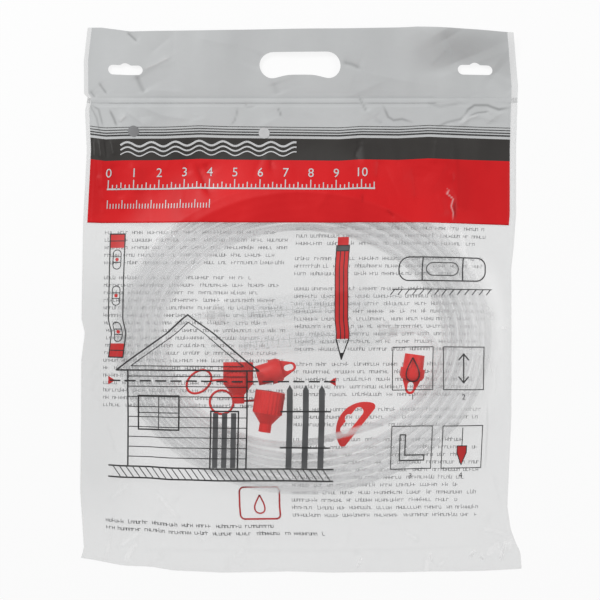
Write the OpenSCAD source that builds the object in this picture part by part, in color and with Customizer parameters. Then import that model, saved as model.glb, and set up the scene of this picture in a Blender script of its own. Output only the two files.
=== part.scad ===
// Water level: two graduated flasks on a long hose, with caps, stoppers and a clip, packed in a film bag.
// The bag lies on its back film. +X is to the right, +Y towards the header, +Z up, in millimetres.

/* [Bag] */
// Width of the bag
bag_w = 406; // [396:1:440]
// Length of the pouch, from its bottom edge to the fold under the header
pouch_l = 446; // [440:1:480]
// Thickness of one film
film_t = 0.5; // [0.4:0.1:0.8]
// Width of the welded margin at each side
side_weld = 8; // [5:1:10]
// Height of the welded margin at the bottom
bottom_weld = 28; // [20:1:34]
// Height of the welded margin under the header
top_weld = 8; // [5:1:14]
// Height of the header above the fold
header_l = 66; // [60:1:80]
// Gap between the header and the pouch at the fold
fold_gap = 0.4; // [0.2:0.1:0.6]
// Free height of the film above what it covers
film_gap = 0.6; // [0.4:0.1:2]

/* [Header holes] */
// Width of the hand hole
hand_w = 75; // [65:1:90]
// Height of the hand hole
hand_h = 24; // [20:1:28]
// Height of the hand hole's middle above the fold
hand_y = 32; // [28:1:36]
// Width of a hanging slot
slot_w = 32; // [28:1:36]
// Height of a hanging slot
slot_h = 9; // [8:0.5:10]
// Radius of the hook notch over a hanging slot
notch_r = 5; // [4.8:0.1:5.5]
// Distance from the bag's side to the middle of a hanging slot
slot_inset = 39; // [33:1:53]
// Height of the slots' middle above the fold
slot_y = 27; // [22:1:32]

/* [Hose] */
// Outer diameter of the hose
hose_d = 7; // [6:0.1:7.4]
// Free gap between neighbouring turns
turn_gap = 0.6; // [0.5:0.1:0.8]
// Half width of the innermost turn, along X
coil_a = 129.5; // [127:0.5:133]
// Half width of the innermost turn, along Y
coil_b = 99.5; // [97:0.5:102]
// Middle of the coil, along Y
coil_y = -37; // [-40:0.5:-34]
// Whole turns of the coil
coil_loops = 11; // [9:1:12]
// Rise of the coil where it lies over the clip
clip_rise = 3.4; // [3.2:0.1:4]

/* [Flasks] */
// Outer diameter of a flask
flask_d = 27.5; // [26:0.1:28]
// Wall of a flask
flask_wall = 1.4; // [1:0.1:2]
// Length of a flask's straight body
flask_l = 145; // [135:1:148]
// Length of the shoulder between body and neck
shoulder_l = 6; // [4:0.5:8]
// Outer diameter of the neck
neck_d = 19.6; // [18:0.1:20]
// Length of the neck with its rim
neck_l = 12; // [10:0.5:13]
// Step of the rim over the neck
rim_step = 0.7; // [0.5:0.1:0.8]
// Length of the rim
rim_l = 2.2; // [1.5:0.1:3]
// Length of the tapered foot
foot_l = 6; // [5:0.5:7]
// Outer diameter at the end of the foot
foot_d = 19; // [18:0.5:20]
// Diameter of the hole in the foot
foot_bore = 15; // [14:0.5:15.5]
// Turn of both flasks from the X axis, in degrees
flask_tilt = 5; // [4:0.5:6]
// Free gap between the two flasks
flask_gap = 1.8; // [1.2:0.1:2.5]
// Gap between the graduated strip and the flask
scale_gap = 0.05; // [0.03:0.01:0.1]
// Thickness of the graduated strip
scale_t = 0.25; // [0.2:0.05:0.4]
// Length of the graduated strip
scale_l = 116; // [100:1:120]
// Part of the flask's round that the strip covers, in degrees
scale_arc = 56; // [40:1:70]

/* [Hose adapters] */
// Diameter of the adapter's collar
collar_d = 20; // [19:0.5:22]
// Length of the adapter's collar
collar_l = 5; // [4:0.5:6]
// Diameter of the adapter's tail
tail_d = 11; // [10:0.5:12]
// Length of the adapter's tail
tail_l = 7; // [6:0.5:8]
// Depth of the hose socket
socket_l = 8; // [6:0.5:9]
// Clearance round the hose in its socket
socket_clear = 0.7; // [0.6:0.05:0.9]
// Gap between the hose's end and the bottom of its socket
socket_gap = 0.3; // [0.2:0.05:0.5]
// Length of the spigot inside the foot
spigot_l = 5; // [4:0.5:6]
// Clearance round the spigot
spigot_clear = 0.1; // [0.05:0.05:0.2]
// Diameter of the waterway
water_d = 4; // [3:0.5:5]

/* [Caps] */
// Diameter of a cap over its ribs
cap_d = 28; // [27:0.5:29]
// Length of the ribbed skirt
skirt_l = 21; // [18:0.5:22]
// Clearance between the cap and the flask's rim
cap_clear = 0.4; // [0.3:0.1:0.6]
// Depth of the cap's cup
cup_l = 16; // [14:0.5:17]
// Length of the cone over the skirt
cone_l = 9.5; // [8:0.5:11]
// Diameter of the nozzle
nozzle_d = 11.5; // [10:0.5:12]
// Length of the nozzle
nozzle_l = 8; // [6:0.5:9]
// Diameter of the bore through the nozzle
vent_d = 4.5; // [3:0.5:6]
// Number of ribs round the skirt
rib_count = 24; // [16:1:32]
// Depth of the grooves between the ribs
rib_step = 0.8; // [0.5:0.1:1]
// Thickness of the sealing washer
seal_t = 1.5; // [1:0.1:2]
// Clearance round the sealing washer
seal_clear = 0.2; // [0.1:0.1:0.4]

/* [Tethers] */
// Thickness of the ring and the strap
ring_t = 2.2; // [1.8:0.1:2.4]
// Clearance of the ring round the neck
ring_clear = 0.4; // [0.3:0.1:0.8]
// How far the first ring is squeezed to an oval, as a share of its radius
ring_1_oval_share = 0.17; // [0:0.01:0.18]
// Gap between the strap and the lug on its cap
strap_gap = 0.3; // [0.2:0.1:0.4]
// Width of the lug
lug_w = 3.4; // [3:0.2:5]
// Reach of the lug from the cap's axis
lug_reach = 13.6; // [12.5:0.1:14]

/* [Stoppers] */
// Diameter of the barrel
barrel_d = 19.5; // [18:0.5:20]
// Length of the barrel
barrel_l = 13; // [12:0.5:14]
// Clearance round the nozzle in the barrel
barrel_clear = 0.5; // [0.3:0.1:0.8]
// Depth of the barrel's bore
barrel_bore_l = 11; // [9:0.5:12]
// Diameter of the stopper's collar
grip_d = 23; // [21:0.5:24]
// Length of the stopper's collar
grip_l = 10.5; // [9:0.5:11]
// Length of the pull loop
loop_l = 14; // [13:0.5:15]
// Width of the pull loop at the collar
loop_w = 18; // [16:0.5:20]
// Thickness of the pull loop
loop_t = 4.5; // [3.5:0.5:6]
// Radius of the pull loop's tip
loop_tip_r = 4.6; // [4.4:0.1:5.5]
// Width of the hole in the pull loop
eye_w = 5.6; // [5:0.1:5.8]
// Length of the hole in the pull loop
eye_l = 9; // [8:0.5:9.5]

/* [Clip] */
// Length of the clip
clip_l = 51; // [48:0.5:53]
// Width of the clip, from its straight side to the top of its arched side
clip_w = 21.5; // [20.5:0.5:22.5]
// Radius of the arched side
clip_arch_r = 27.5; // [26.5:0.5:30]
// Radius of the corners on the straight side
clip_corner_r = 4; // [3:0.5:5]
// Thickness of the clip
clip_t = 2.4; // [2:0.1:2.6]
// Width of the slot that the hose passes through
clip_slot_w = 8.3; // [7.8:0.1:8.6]
// Length of the slot
clip_slot_l = 30; // [26:1:31]
// Width of the rim between the slot and the straight side
clip_rim = 5.8; // [5:0.1:6.2]
// Diameter of the round seat at the side of the slot
clip_seat_d = 8.2; // [7.8:0.1:9]
// Depth of the seat past the slot's edge
clip_seat_depth = 3.1; // [2.5:0.1:3.5]
// Turn of the clip from the X axis, in degrees
clip_turn = 51.5; // [48:0.5:55]

/* [Hidden] */
$fn = 64;
// Overrun of every cut past the face that it opens
over = 1;
// Gap under each piece that lies on the back film
rest_gap = 0.3;
// Height at which the packed pieces lie
floor_z = film_t + rest_gap;

// The fold line, the bag's middle and the distance between the hanging slots
fold_y = 190;
slot_spacing = bag_w - 2 * slot_inset;
pouch_bottom = fold_y - pouch_l;
pouch_mid = fold_y - pouch_l / 2;

// Coil: both ends are at the inner turn, with the lower layer winding out and the upper layer winding in
coil_start = 200;
coil_end = 338;
coil_turns = coil_loops + (coil_end - coil_start) / 360;
rings_a_turn = 24;
coil_sides = 6;
turn_step = hose_d + turn_gap;
coil_spread = turn_step * coil_turns / 2;
clip_angle = 290;
clip_spread = 60;

// Flasks: the first one points to the right, the second lies below it and points to the left
flask_1_at = [-71, -13];
flask_stagger = 140;
flask_1_turn = flask_tilt;
flask_2_turn = flask_tilt + 180;
flask_2_at = flask_1_at + turned([flask_stagger, -(flask_d + flask_gap)], flask_tilt);
flask_z = floor_z + flask_d / 2;
mouth_x = flask_l + shoulder_l + neck_l;
tail_x = -(foot_l + collar_l + tail_l);
hose_end_x = tail_x + socket_l - socket_gap;

// Caps, stoppers and clip: where each lies and which way it points
cap_gap = 3;
cap_z = floor_z + cap_d / 2;
cap_1_x = -59.7;
cap_1_turn = -90;
cap_1_at = [cap_1_x, below_flask_2(cap_1_x) - cap_gap];
lug_1_x = 16.5;
stopper_z = floor_z + grip_d / 2;
barrel_drop = 5.8;
stopper_1_x = -42;
stopper_1_turn = 15;
stopper_1_at = [stopper_1_x, below_flask_2(stopper_1_x) - grip_d / 2 - barrel_drop];
cap_2_x = -29.5;
cap_2_turn = -98.5;
cap_2_at = [cap_2_x, stopper_1_at.y - grip_d / 2 - cap_gap];
lug_2_x = 11;
stopper_2_at = [105.6, -51];
stopper_2_turn = -98;
clip_at = [46.8, -113.2];
clip_z = floor_z;

// Tether rings: the middle of each ring as it lies. The first one is an oval, turned from the X axis.
ring_r = neck_d / 2 + ring_clear / 2 + ring_t / 2;
ring_z = floor_z + ring_t / 2;
ring_1_at = [-96.8, -76.8];
ring_1_half = ring_r * [1 + ring_1_oval_share, 1 - ring_1_oval_share];
ring_1_turn = 40;
ring_steps = 40;
ring_sides = 10;
ring_2_at = [-75.5, -96];
lug_1_at = cap_1_at + turned([lug_1_x, -lug_reach], cap_1_turn);
lug_2_at = cap_2_at + turned([lug_2_x, -lug_reach], cap_2_turn);

// Free stretches of the hose, between the coil's ends and the flasks
lead_sides = 8;
lead_gap = 0.15;
lead_straight = 3;
lead_1_route = [[-125.4, -52, 5.2], [-120.5, -33, 8], [-109.5, -19.5, 11.7], [-97, -15.2, 14.2]];
lead_2_route = [[123.6, -56, 12.9], [120.5, -42, 13.4], [112, -32.2, 14], [98, -27.8, 14.5]];

// Film cover: a flat rim, a slope, a shelf over the coil, and a middle that hangs over the flasks and fittings
film_steps_a_side = 12;
film_points = 4 * film_steps_a_side;
shelf_margin = 5;
shelf_z = floor_z + hose_d + turn_step + film_gap;
slope_sag = 2;
hole_margin = 3;
hole_shares = [0.93, 0.8, 0.66, 0.5, 0.34, 0.17];
hang_z = flask_z + hose_d / 2 + film_gap;
hang_slope = 0.45;
prop_margin = 4;
flask_swing = 4;
flask_top = floor_z + flask_d + scale_gap + scale_t + film_gap;
cap_top = floor_z + cap_d + film_gap;
stopper_top = floor_z + grip_d + film_gap;
stopper_l = barrel_l + grip_l;
stopper_1_slide = [30, 0];
stopper_2_slide = [-15, 0];

function turned(p, a) = [p.x * cos(a) - p.y * sin(a), p.x * sin(a) + p.y * cos(a)];
function at_height(p, z) = [p.x, p.y, z];
function unit(v) = v / norm(v);
function smooth(f) = f <= 0 ? 0 : f >= 1 ? 1 : f * f * (3 - 2 * f);

// Lower edge of the second flask at a place along X
function below_flask_2(x) =
    flask_2_at.y + (x - flask_2_at.x) * tan(flask_tilt) - flask_d / 2 / cos(flask_tilt);

// A point of a flask's axis, given along the flask
function on_flask(at, turn, along) = at_height(at + turned([along, 0], turn), flask_z);

// The coil's centre line, at a number of turns from its lower end
function coil_rise(a) =
    let (away = abs((a - clip_angle) % 360), off = min(away, 360 - away))
    off >= clip_spread ? 0 : clip_rise * pow(cos(90 * off / clip_spread), 2);
function coil_point(t) =
    let (a = coil_start + 360 * t,
         out = turn_step * (coil_turns / 2 - abs(t - coil_turns / 2)),
         layer = smooth((t - coil_turns / 2) * 2 + 0.5))
    [(coil_a + out) * cos(a), coil_y + (coil_b + out) * sin(a),
     floor_z + hose_d / 2 + layer * turn_step + coil_rise(a)];
coil_count = floor(coil_turns * rings_a_turn);
coil_inner = [for (i = [0 : coil_count]) coil_point(i / rings_a_turn)];
coil_last = coil_point(coil_turns);
coil_first_way = unit(coil_inner[0] - coil_point(-1 / rings_a_turn));
coil_last_way = unit(coil_point(coil_turns + 1 / rings_a_turn) - coil_last);
coil_head = coil_inner[0] - hose_d * coil_first_way;
coil_tail = coil_last + hose_d * coil_last_way;
coil_line = concat([coil_head], coil_inner, [coil_last, coil_tail]);

// Least gap of the coil to itself, between points more than half a turn apart
coil_gaps = [for (i = [0 : len(coil_inner) - 1]) for (j = [i + rings_a_turn / 2 : len(coil_inner) - 1])
             norm(coil_inner[i] - coil_inner[j]) - hose_d];
echo(least_gap_of_coil = min(coil_gaps));

// Each lead starts straight on from the end of the coil
lead_1_start = [for (ahead = [lead_gap, lead_straight]) coil_head - ahead * coil_first_way];
lead_2_start = [for (ahead = [lead_gap, lead_straight]) coil_tail + ahead * coil_last_way];
lead_1_line = concat(lead_1_start, lead_1_route,
                     [on_flask(flask_1_at, flask_1_turn, tail_x), on_flask(flask_1_at, flask_1_turn, hose_end_x)]);
lead_2_line = concat(lead_2_start, lead_2_route,
                     [on_flask(flask_2_at, flask_2_turn, tail_x), on_flask(flask_2_at, flask_2_turn, hose_end_x)]);

function length_of(line, i = 1) = i >= len(line) ? 0 : norm(line[i] - line[i - 1]) + length_of(line, i + 1);
echo(hose_length = length_of(coil_line) + length_of(lead_1_line) + length_of(lead_2_line));

// One ring of a tube, square to its line, which may run round into itself
function way_at(line, i, endless) =
    let (n = len(line))
    endless ? unit(line[(i + 1) % n] - line[(i + n - 1) % n]) : unit(line[min(i + 1, n - 1)] - line[max(i - 1, 0)]);
function tube_ring(line, i, d, sides, endless) =
    let (way = way_at(line, i, endless), side = unit(cross(way, [0, 0, 1])), up = cross(side, way))
    [for (k = [0 : sides - 1]) line[i] + d / 2 * (cos(360 * k / sides) * side + sin(360 * k / sides) * up)];

// A tube along a line of points, closed at both ends or run round into itself
module tube_along(line, d, sides, endless = false) {
    count = len(line);
    points = [for (i = [0 : count - 1]) each tube_ring(line, i, d, sides, endless)];
    walls = [for (i = [0 : endless ? count - 1 : count - 2]) for (k = [0 : sides - 1])
             let (a = i * sides + k, b = i * sides + (k + 1) % sides, n = ((i + 1) % count - i) * sides)
             each [[a, b, b + n], [a, b + n, a + n]]];
    first = [for (k = [1 : sides - 2]) [0, k + 1, k]];
    far = (count - 1) * sides;
    last = [for (k = [1 : sides - 2]) [far, far + k, far + k + 1]];
    polyhedron(points = points, faces = endless ? walls : concat(walls, first, last));
}

// Points round a unit square, and the same points round the bag's edge or its weld
function square_point(k) =
    let (n = film_steps_a_side, side = floor(k / n), f = 2 * (k % n) / n - 1)
    side == 0 ? [1, f] : side == 1 ? [-f, 1] : side == 2 ? [-1, -f] : [f, -1];
weld_half = [bag_w / 2 - side_weld, (pouch_l - bottom_weld - top_weld) / 2];
weld_mid = pouch_mid + (bottom_weld - top_weld) / 2;
function rim_ring(half, middle) =
    [for (k = [0 : film_points - 1]) let (q = square_point(k)) [half.x * q.x, middle + half.y * q.y, film_t]];
weld_ring = rim_ring(weld_half, weld_mid);

coil_middle = [0, coil_y];
hole_half = [coil_a - hose_d / 2, coil_b - hose_d / 2];
coil_half = [coil_a + coil_spread + hose_d / 2, coil_b + coil_spread + hose_d / 2];
both_ways = [1, 1];

// Rings round the coil's middle, with each point in line with a point of the weld: on the coil, halfway down
// the slope to the weld, and inside the coil
film_ways = [for (q = weld_ring) unit([q.x / coil_half.x, (q.y - coil_y) / coil_half.y])];
function on_ring(half, p) = [half.x * p.x, coil_y + half.y * p.y];
function shelf_ring(half) =
    [for (p = film_ways) at_height(on_ring(half, p), shelf_z + coil_rise(atan2(p.y, p.x)))];
function slope_ring(low, high) = [for (k = [0 : film_points - 1]) (low[k] + high[k]) / 2 - [0, 0, slope_sag]];
function hung_ring(half) = [for (p = film_ways) let (q = on_ring(half, p)) at_height(q, hung_z(q))];

// What holds the film up inside the coil: two ends of a line, half its width and the film's height over it
film_props = [
    [flask_1_at, flask_1_at + turned([mouth_x, 0], flask_1_turn), flask_d / 2, flask_top],
    [flask_1_at, flask_1_at + turned([mouth_x, 0], flask_1_turn + flask_swing), flask_d / 2, flask_top],
    [flask_2_at, flask_2_at + turned([mouth_x, 0], flask_2_turn), flask_d / 2, flask_top],
    [cap_1_at, cap_1_at + turned([skirt_l, 0], cap_1_turn), cap_d / 2, cap_top],
    [cap_2_at, cap_2_at + turned([skirt_l, 0], cap_2_turn), cap_d / 2, cap_top],
    [stopper_1_at, stopper_1_at + turned([stopper_l, 0], stopper_1_turn) + stopper_1_slide, grip_d / 2, stopper_top],
    [stopper_2_at, stopper_2_at + turned([stopper_l, 0], stopper_2_turn), grip_d / 2, stopper_top],
    [stopper_2_at + stopper_2_slide, stopper_2_at + stopper_2_slide + turned([stopper_l, 0], stopper_2_turn),
     grip_d / 2, stopper_top],
];
function from_line(p, a, b) =
    let (f = max(0, min(1, (p - a) * (b - a) / ((b - a) * (b - a))))) norm(p - a - f * (b - a));
function hung_z(p) =
    max(concat([hang_z], [for (q = film_props)
        q[3] - hang_slope * max(0, from_line(p, q[0], q[1]) - q[2] - prop_margin)]));

film_rings = [
    rim_ring([bag_w / 2, pouch_l / 2], pouch_mid),
    weld_ring,
    slope_ring(weld_ring, shelf_ring(coil_half + shelf_margin * both_ways)),
    shelf_ring(coil_half + shelf_margin * both_ways),
    shelf_ring(hole_half + hole_margin * both_ways),
    for (share = hole_shares) hung_ring(share * hole_half),
];
crown_point = at_height(coil_middle, hung_z(coil_middle));

module bag_back_film() {
    color("whitesmoke", 0.5)
        translate([-bag_w / 2, pouch_bottom, 0]) cube([bag_w, pouch_l, film_t]);
}

module bag_front_film() {
    under = concat([for (ring = film_rings) each ring], [crown_point]);
    raised = [for (p = under) p + [0, 0, film_t]];
    n = film_points;
    rows = len(film_rings);
    size = len(under);
    skin = concat(
        [for (r = [0 : rows - 2]) for (k = [0 : n - 1])
         let (a = r * n + k, b = r * n + (k + 1) % n)
         each [[a, b, b + n], [a, b + n, a + n]]],
        [for (k = [0 : n - 1]) [(rows - 1) * n + k, (rows - 1) * n + (k + 1) % n, size - 1]]);
    top = [for (f = skin) [f[2] + size, f[1] + size, f[0] + size]];
    rim = [for (k = [0 : n - 1]) let (m = (k + 1) % n) each [[k, k + size, m + size], [k, m + size, m]]];
    color("white", 0.4) polyhedron(points = concat(under, raised), faces = concat(skin, top, rim));
}

// A hole with round ends, along X
module round_slot(w, h) {
    square([w - h, h], center = true);
    for (side = [-1, 1]) translate([side * (w - h) / 2, 0]) circle(d = h);
}

module bag_header() {
    color("silver")
        translate([0, fold_y, 0]) linear_extrude(2 * film_t) difference() {
            translate([-bag_w / 2, fold_gap]) square([bag_w, header_l - fold_gap]);
            translate([0, hand_y]) round_slot(hand_w, hand_h);
            for (side = [-1, 1]) translate([side * slot_spacing / 2, slot_y]) {
                round_slot(slot_w, slot_h);
                translate([0, slot_h / 2 - notch_r / 2]) circle(r = notch_r);
            }
        }
}

module hose_coil() {
    color("gainsboro") tube_along(coil_line, hose_d, coil_sides);
}

module hose_lead_1() {
    color("gainsboro") tube_along(lead_1_line, hose_d, lead_sides);
}

module hose_lead_2() {
    color("gainsboro") tube_along(lead_2_line, hose_d, lead_sides);
}

// Turns a piece that was made along Z so that it lies along X, and puts it in its place
module laid(at, turn, z) {
    translate([at.x, at.y, z]) rotate([0, 0, turn]) rotate([0, 90, 0]) children();
}

module flask_tube() {
    r = flask_d / 2;
    neck_r = neck_d / 2;
    bore_r = neck_r - flask_wall;
    shoulder_x = flask_l + shoulder_l;
    rotate_extrude() polygon([
        [foot_bore / 2, -foot_l], [foot_d / 2, -foot_l], [r, 0], [r, flask_l], [neck_r, shoulder_x],
        [neck_r, mouth_x - rim_l], [neck_r + rim_step, mouth_x - rim_l], [neck_r + rim_step, mouth_x],
        [bore_r, mouth_x], [bore_r, shoulder_x], [r - flask_wall, flask_l], [r - flask_wall, 0],
        [foot_bore / 2, -foot_l / 2]]);
}

// The strip lies along the top of the flask, halfway between foot and shoulder
module flask_scale() {
    translate([0, 0, (flask_l - scale_l) / 2])
        rotate([0, 0, 180 - scale_arc / 2]) rotate_extrude(angle = scale_arc)
            translate([flask_d / 2 + scale_gap, 0]) square([scale_t, scale_l]);
}

module flask_adapter() {
    difference() {
        union() {
            translate([0, 0, -foot_l]) cylinder(d = foot_bore - 2 * spigot_clear, h = spigot_l);
            translate([0, 0, -foot_l - collar_l]) cylinder(d = collar_d, h = collar_l);
            translate([0, 0, tail_x]) cylinder(d = tail_d, h = tail_l);
        }
        translate([0, 0, tail_x - over]) cylinder(d = hose_d + socket_clear, h = socket_l + over);
        translate([0, 0, tail_x]) cylinder(d = water_d, h = spigot_l - foot_l - tail_x + over);
    }
}

module flask_1_tube() {
    color("azure", 0.5) laid(flask_1_at, flask_1_turn, flask_z) flask_tube();
}

module flask_1_scale() {
    color("dimgray") laid(flask_1_at, flask_1_turn, flask_z) flask_scale();
}

module flask_1_adapter() {
    color("white") laid(flask_1_at, flask_1_turn, flask_z) flask_adapter();
}

module flask_2_tube() {
    color("azure", 0.5) laid(flask_2_at, flask_2_turn, flask_z) flask_tube();
}

module flask_2_scale() {
    color("dimgray") laid(flask_2_at, flask_2_turn, flask_z) flask_scale();
}

module flask_2_adapter() {
    color("white") laid(flask_2_at, flask_2_turn, flask_z) flask_adapter();
}

// Ribbed outline of the skirt: four points to a rib
module ribbed_round() {
    steps = 4 * rib_count;
    polygon([for (i = [0 : steps - 1])
             let (r = cap_d / 2 - (i % 4 < 2 ? 0 : rib_step), a = 360 * i / steps)
             [r * cos(a), r * sin(a)]]);
}

// The cap's open end is at zero and its nozzle points along Z. Before it is laid down, its lowest side is +X.
module cap(lug_x) {
    cup_d = neck_d + 2 * rim_step + 2 * cap_clear;
    cap_l = skirt_l + cone_l + nozzle_l;
    lug_low = cap_d / 2 - rest_gap;
    difference() {
        union() {
            linear_extrude(skirt_l) ribbed_round();
            translate([0, 0, skirt_l])
                cylinder(r1 = cap_d / 2 - rib_step, d2 = nozzle_d, h = cone_l);
            translate([0, 0, skirt_l + cone_l]) cylinder(d = nozzle_d, h = nozzle_l);
            translate([lug_low - ring_t, -lug_reach, lug_x - lug_w / 2])
                cube([ring_t, lug_reach, lug_w]);
        }
        translate([0, 0, -over]) cylinder(d = cup_d, h = cup_l + over);
        cylinder(d = vent_d, h = cap_l + over);
    }
}

module cap_seal() {
    cup_d = neck_d + 2 * rim_step + 2 * cap_clear;
    translate([0, 0, cup_l - seal_t]) difference() {
        cylinder(d = cup_d - 2 * seal_clear, h = seal_t);
        translate([0, 0, -over]) cylinder(d = vent_d, h = seal_t + 2 * over);
    }
}

// Ring as a tube, with the strap that runs to the lug on its cap
module tether(ring_at, lug_at, half, turn) {
    way = lug_at - ring_at;
    way_turn = atan2(way.y, way.x);
    reach = 1 / norm([cos(way_turn - turn) / half.x, sin(way_turn - turn) / half.y]);
    ring_line = [for (i = [0 : ring_steps - 1])
                 let (a = 360 * i / ring_steps)
                 at_height(ring_at + turned([half.x * cos(a), half.y * sin(a)], turn), ring_z)];
    tube_along(ring_line, ring_t, ring_sides, endless = true);
    translate(at_height(ring_at, ring_z)) rotate([0, 0, way_turn]) translate([reach, 0, 0]) rotate([0, 90, 0])
        cylinder(d = ring_t, h = norm(way) - reach - strap_gap);
}

module cap_1() {
    color("firebrick") laid(cap_1_at, cap_1_turn, cap_z) cap(lug_1_x);
}

module cap_1_seal() {
    color("lightgray") laid(cap_1_at, cap_1_turn, cap_z) cap_seal();
}

module tether_1() {
    color("firebrick") tether(ring_1_at, lug_1_at, ring_1_half, ring_1_turn);
}

module cap_2() {
    color("firebrick") laid(cap_2_at, cap_2_turn, cap_z) cap(lug_2_x);
}

module cap_2_seal() {
    color("lightgray") laid(cap_2_at, cap_2_turn, cap_z) cap_seal();
}

module tether_2() {
    color("firebrick") tether(ring_2_at, lug_2_at, ring_r * both_ways, 0);
}

// The barrel's open end is at zero and the pull loop points along Z
module stopper() {
    loop_x = barrel_l + grip_l;
    tip_x = loop_x + loop_l - loop_tip_r;
    eye_x = loop_x + loop_l / 2;
    difference() {
        union() {
            cylinder(d = barrel_d, h = barrel_l);
            translate([0, 0, barrel_l]) cylinder(d = grip_d, h = grip_l);
            rotate([0, -90, 0]) translate([0, 0, -loop_t / 2]) linear_extrude(loop_t) {
                polygon([[loop_x - over, -loop_w / 2], [loop_x, -loop_w / 2], [tip_x, -loop_tip_r],
                         [tip_x, loop_tip_r], [loop_x, loop_w / 2], [loop_x - over, loop_w / 2]]);
                translate([tip_x, 0]) circle(r = loop_tip_r);
            }
        }
        translate([0, 0, -over]) cylinder(d = nozzle_d + barrel_clear, h = barrel_bore_l + over);
        rotate([0, -90, 0]) translate([eye_x, 0, -loop_t / 2 - over])
            linear_extrude(loop_t + 2 * over) round_slot(eye_l, eye_w);
    }
}

module stopper_1() {
    color("crimson") laid(stopper_1_at, stopper_1_turn, stopper_z) stopper();
}

module stopper_2() {
    color("crimson") laid(stopper_2_at, stopper_2_turn, stopper_z) stopper();
}

// A flat plate with one straight and one arched side, round a slot with a seat for the hose
module hose_clip() {
    low_y = -clip_slot_w / 2 - clip_rim;
    corner_x = clip_l / 2 - clip_corner_r;
    color("crimson")
        translate(at_height(clip_at, clip_z)) rotate([0, 0, clip_turn]) linear_extrude(clip_t) difference() {
            intersection() {
                translate([0, low_y + clip_w - clip_arch_r]) circle(r = clip_arch_r);
                union() {
                    for (side = [-1, 1]) translate([side * corner_x, low_y + clip_corner_r]) circle(r = clip_corner_r);
                    translate([-corner_x, low_y]) square([2 * corner_x, clip_w]);
                    translate([-clip_l / 2, low_y + clip_corner_r]) square([clip_l, clip_w]);
                }
            }
            round_slot(clip_slot_l, clip_slot_w);
            translate([0, clip_slot_w / 2 + clip_seat_depth - clip_seat_d / 2]) circle(d = clip_seat_d);
        }
}

bag_back_film();
bag_front_film();
bag_header();
hose_coil();
hose_lead_1();
hose_lead_2();
flask_1_tube();
flask_1_scale();
flask_1_adapter();
flask_2_tube();
flask_2_scale();
flask_2_adapter();
cap_1();
cap_1_seal();
tether_1();
cap_2();
cap_2_seal();
tether_2();
stopper_1();
stopper_2();
hose_clip();
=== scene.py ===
# Looks of a water level packed in a printed film bag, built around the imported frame
import math
import random

import bmesh
import bpy
import numpy as np
from mathutils import Matrix, Vector


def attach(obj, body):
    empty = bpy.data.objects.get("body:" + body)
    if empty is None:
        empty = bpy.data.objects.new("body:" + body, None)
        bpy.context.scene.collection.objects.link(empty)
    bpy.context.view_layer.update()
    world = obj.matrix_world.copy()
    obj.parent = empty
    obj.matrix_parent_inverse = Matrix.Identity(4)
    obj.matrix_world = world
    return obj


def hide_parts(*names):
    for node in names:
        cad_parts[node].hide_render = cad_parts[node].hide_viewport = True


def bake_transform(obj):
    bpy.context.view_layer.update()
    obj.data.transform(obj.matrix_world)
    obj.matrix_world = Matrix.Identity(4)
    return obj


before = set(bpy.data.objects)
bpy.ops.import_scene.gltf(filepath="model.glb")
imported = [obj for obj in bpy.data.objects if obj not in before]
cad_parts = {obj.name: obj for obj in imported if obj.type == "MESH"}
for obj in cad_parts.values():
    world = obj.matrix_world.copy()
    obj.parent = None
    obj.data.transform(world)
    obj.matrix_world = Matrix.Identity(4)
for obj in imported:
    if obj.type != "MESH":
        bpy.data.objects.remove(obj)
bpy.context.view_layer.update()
scene = bpy.context.scene
scene.view_settings.view_transform = "Standard"
scene.cycles.transparent_max_bounces = 32  # films, flasks and hose lie over one another
mm = 0.001  # every size below is in millimetres
upright = Vector((0, 0, 1))

# Camera: straight above the bag, through a long lens
view = {"middle": (-1.9, 0.0), "acrossFrame": 564.0, "distance": 2600.0, "sensor": 36.0}


def addCamera():
    data = bpy.data.cameras.new("camera")
    data.sensor_width = view["sensor"]
    data.lens = view["sensor"] * view["distance"] / view["acrossFrame"]
    camera = bpy.data.objects.new("camera", data)
    camera.location = Vector((*view["middle"], view["distance"])) * mm
    scene.collection.objects.link(camera)
    scene.camera = camera


addCamera()


# Helpers for materials
def startMaterial(name):
    material = bpy.data.materials.new(name)
    material.use_nodes = True
    tree = material.node_tree
    return material, tree, tree.nodes["Principled BSDF"]


def addNoise(tree, scale, detail, stretch=(1, 1, 1)):
    place = tree.nodes.new("ShaderNodeTexCoord")
    mapping = tree.nodes.new("ShaderNodeMapping")
    mapping.inputs["Scale"].default_value = stretch
    noise = tree.nodes.new("ShaderNodeTexNoise")
    noise.inputs["Scale"].default_value = scale
    noise.inputs["Detail"].default_value = detail
    tree.links.new(place.outputs["Object"], mapping.inputs["Vector"])
    tree.links.new(mapping.outputs["Vector"], noise.inputs["Vector"])
    return noise.outputs["Fac"]


def addRange(tree, value, low, high, fromLow=0.3, fromHigh=0.7):
    span = tree.nodes.new("ShaderNodeMapRange")
    span.inputs["From Min"].default_value = fromLow
    span.inputs["From Max"].default_value = fromHigh
    span.inputs["To Min"].default_value = low
    span.inputs["To Max"].default_value = high
    tree.links.new(value, span.inputs["Value"])
    return span.outputs["Result"]


def addMix(tree, factor, first, second):
    mix = tree.nodes.new("ShaderNodeMix")
    mix.data_type = "RGBA"
    tree.links.new(factor, mix.inputs[0])
    for socket, value in ((mix.inputs[6], first), (mix.inputs[7], second)):
        if isinstance(value, tuple):
            socket.default_value = (*value, 1)
        else:
            tree.links.new(value, socket)
    return mix.outputs[2]


def addBump(tree, shader, height, distance):
    bump = tree.nodes.new("ShaderNodeBump")
    bump.inputs["Strength"].default_value = 1.0
    bump.inputs["Distance"].default_value = distance
    tree.links.new(height, bump.inputs["Height"])
    tree.links.new(bump.outputs["Normal"], shader.inputs["Normal"])


noiseDetail = {"clouds": 3, "skin": 2}


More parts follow.
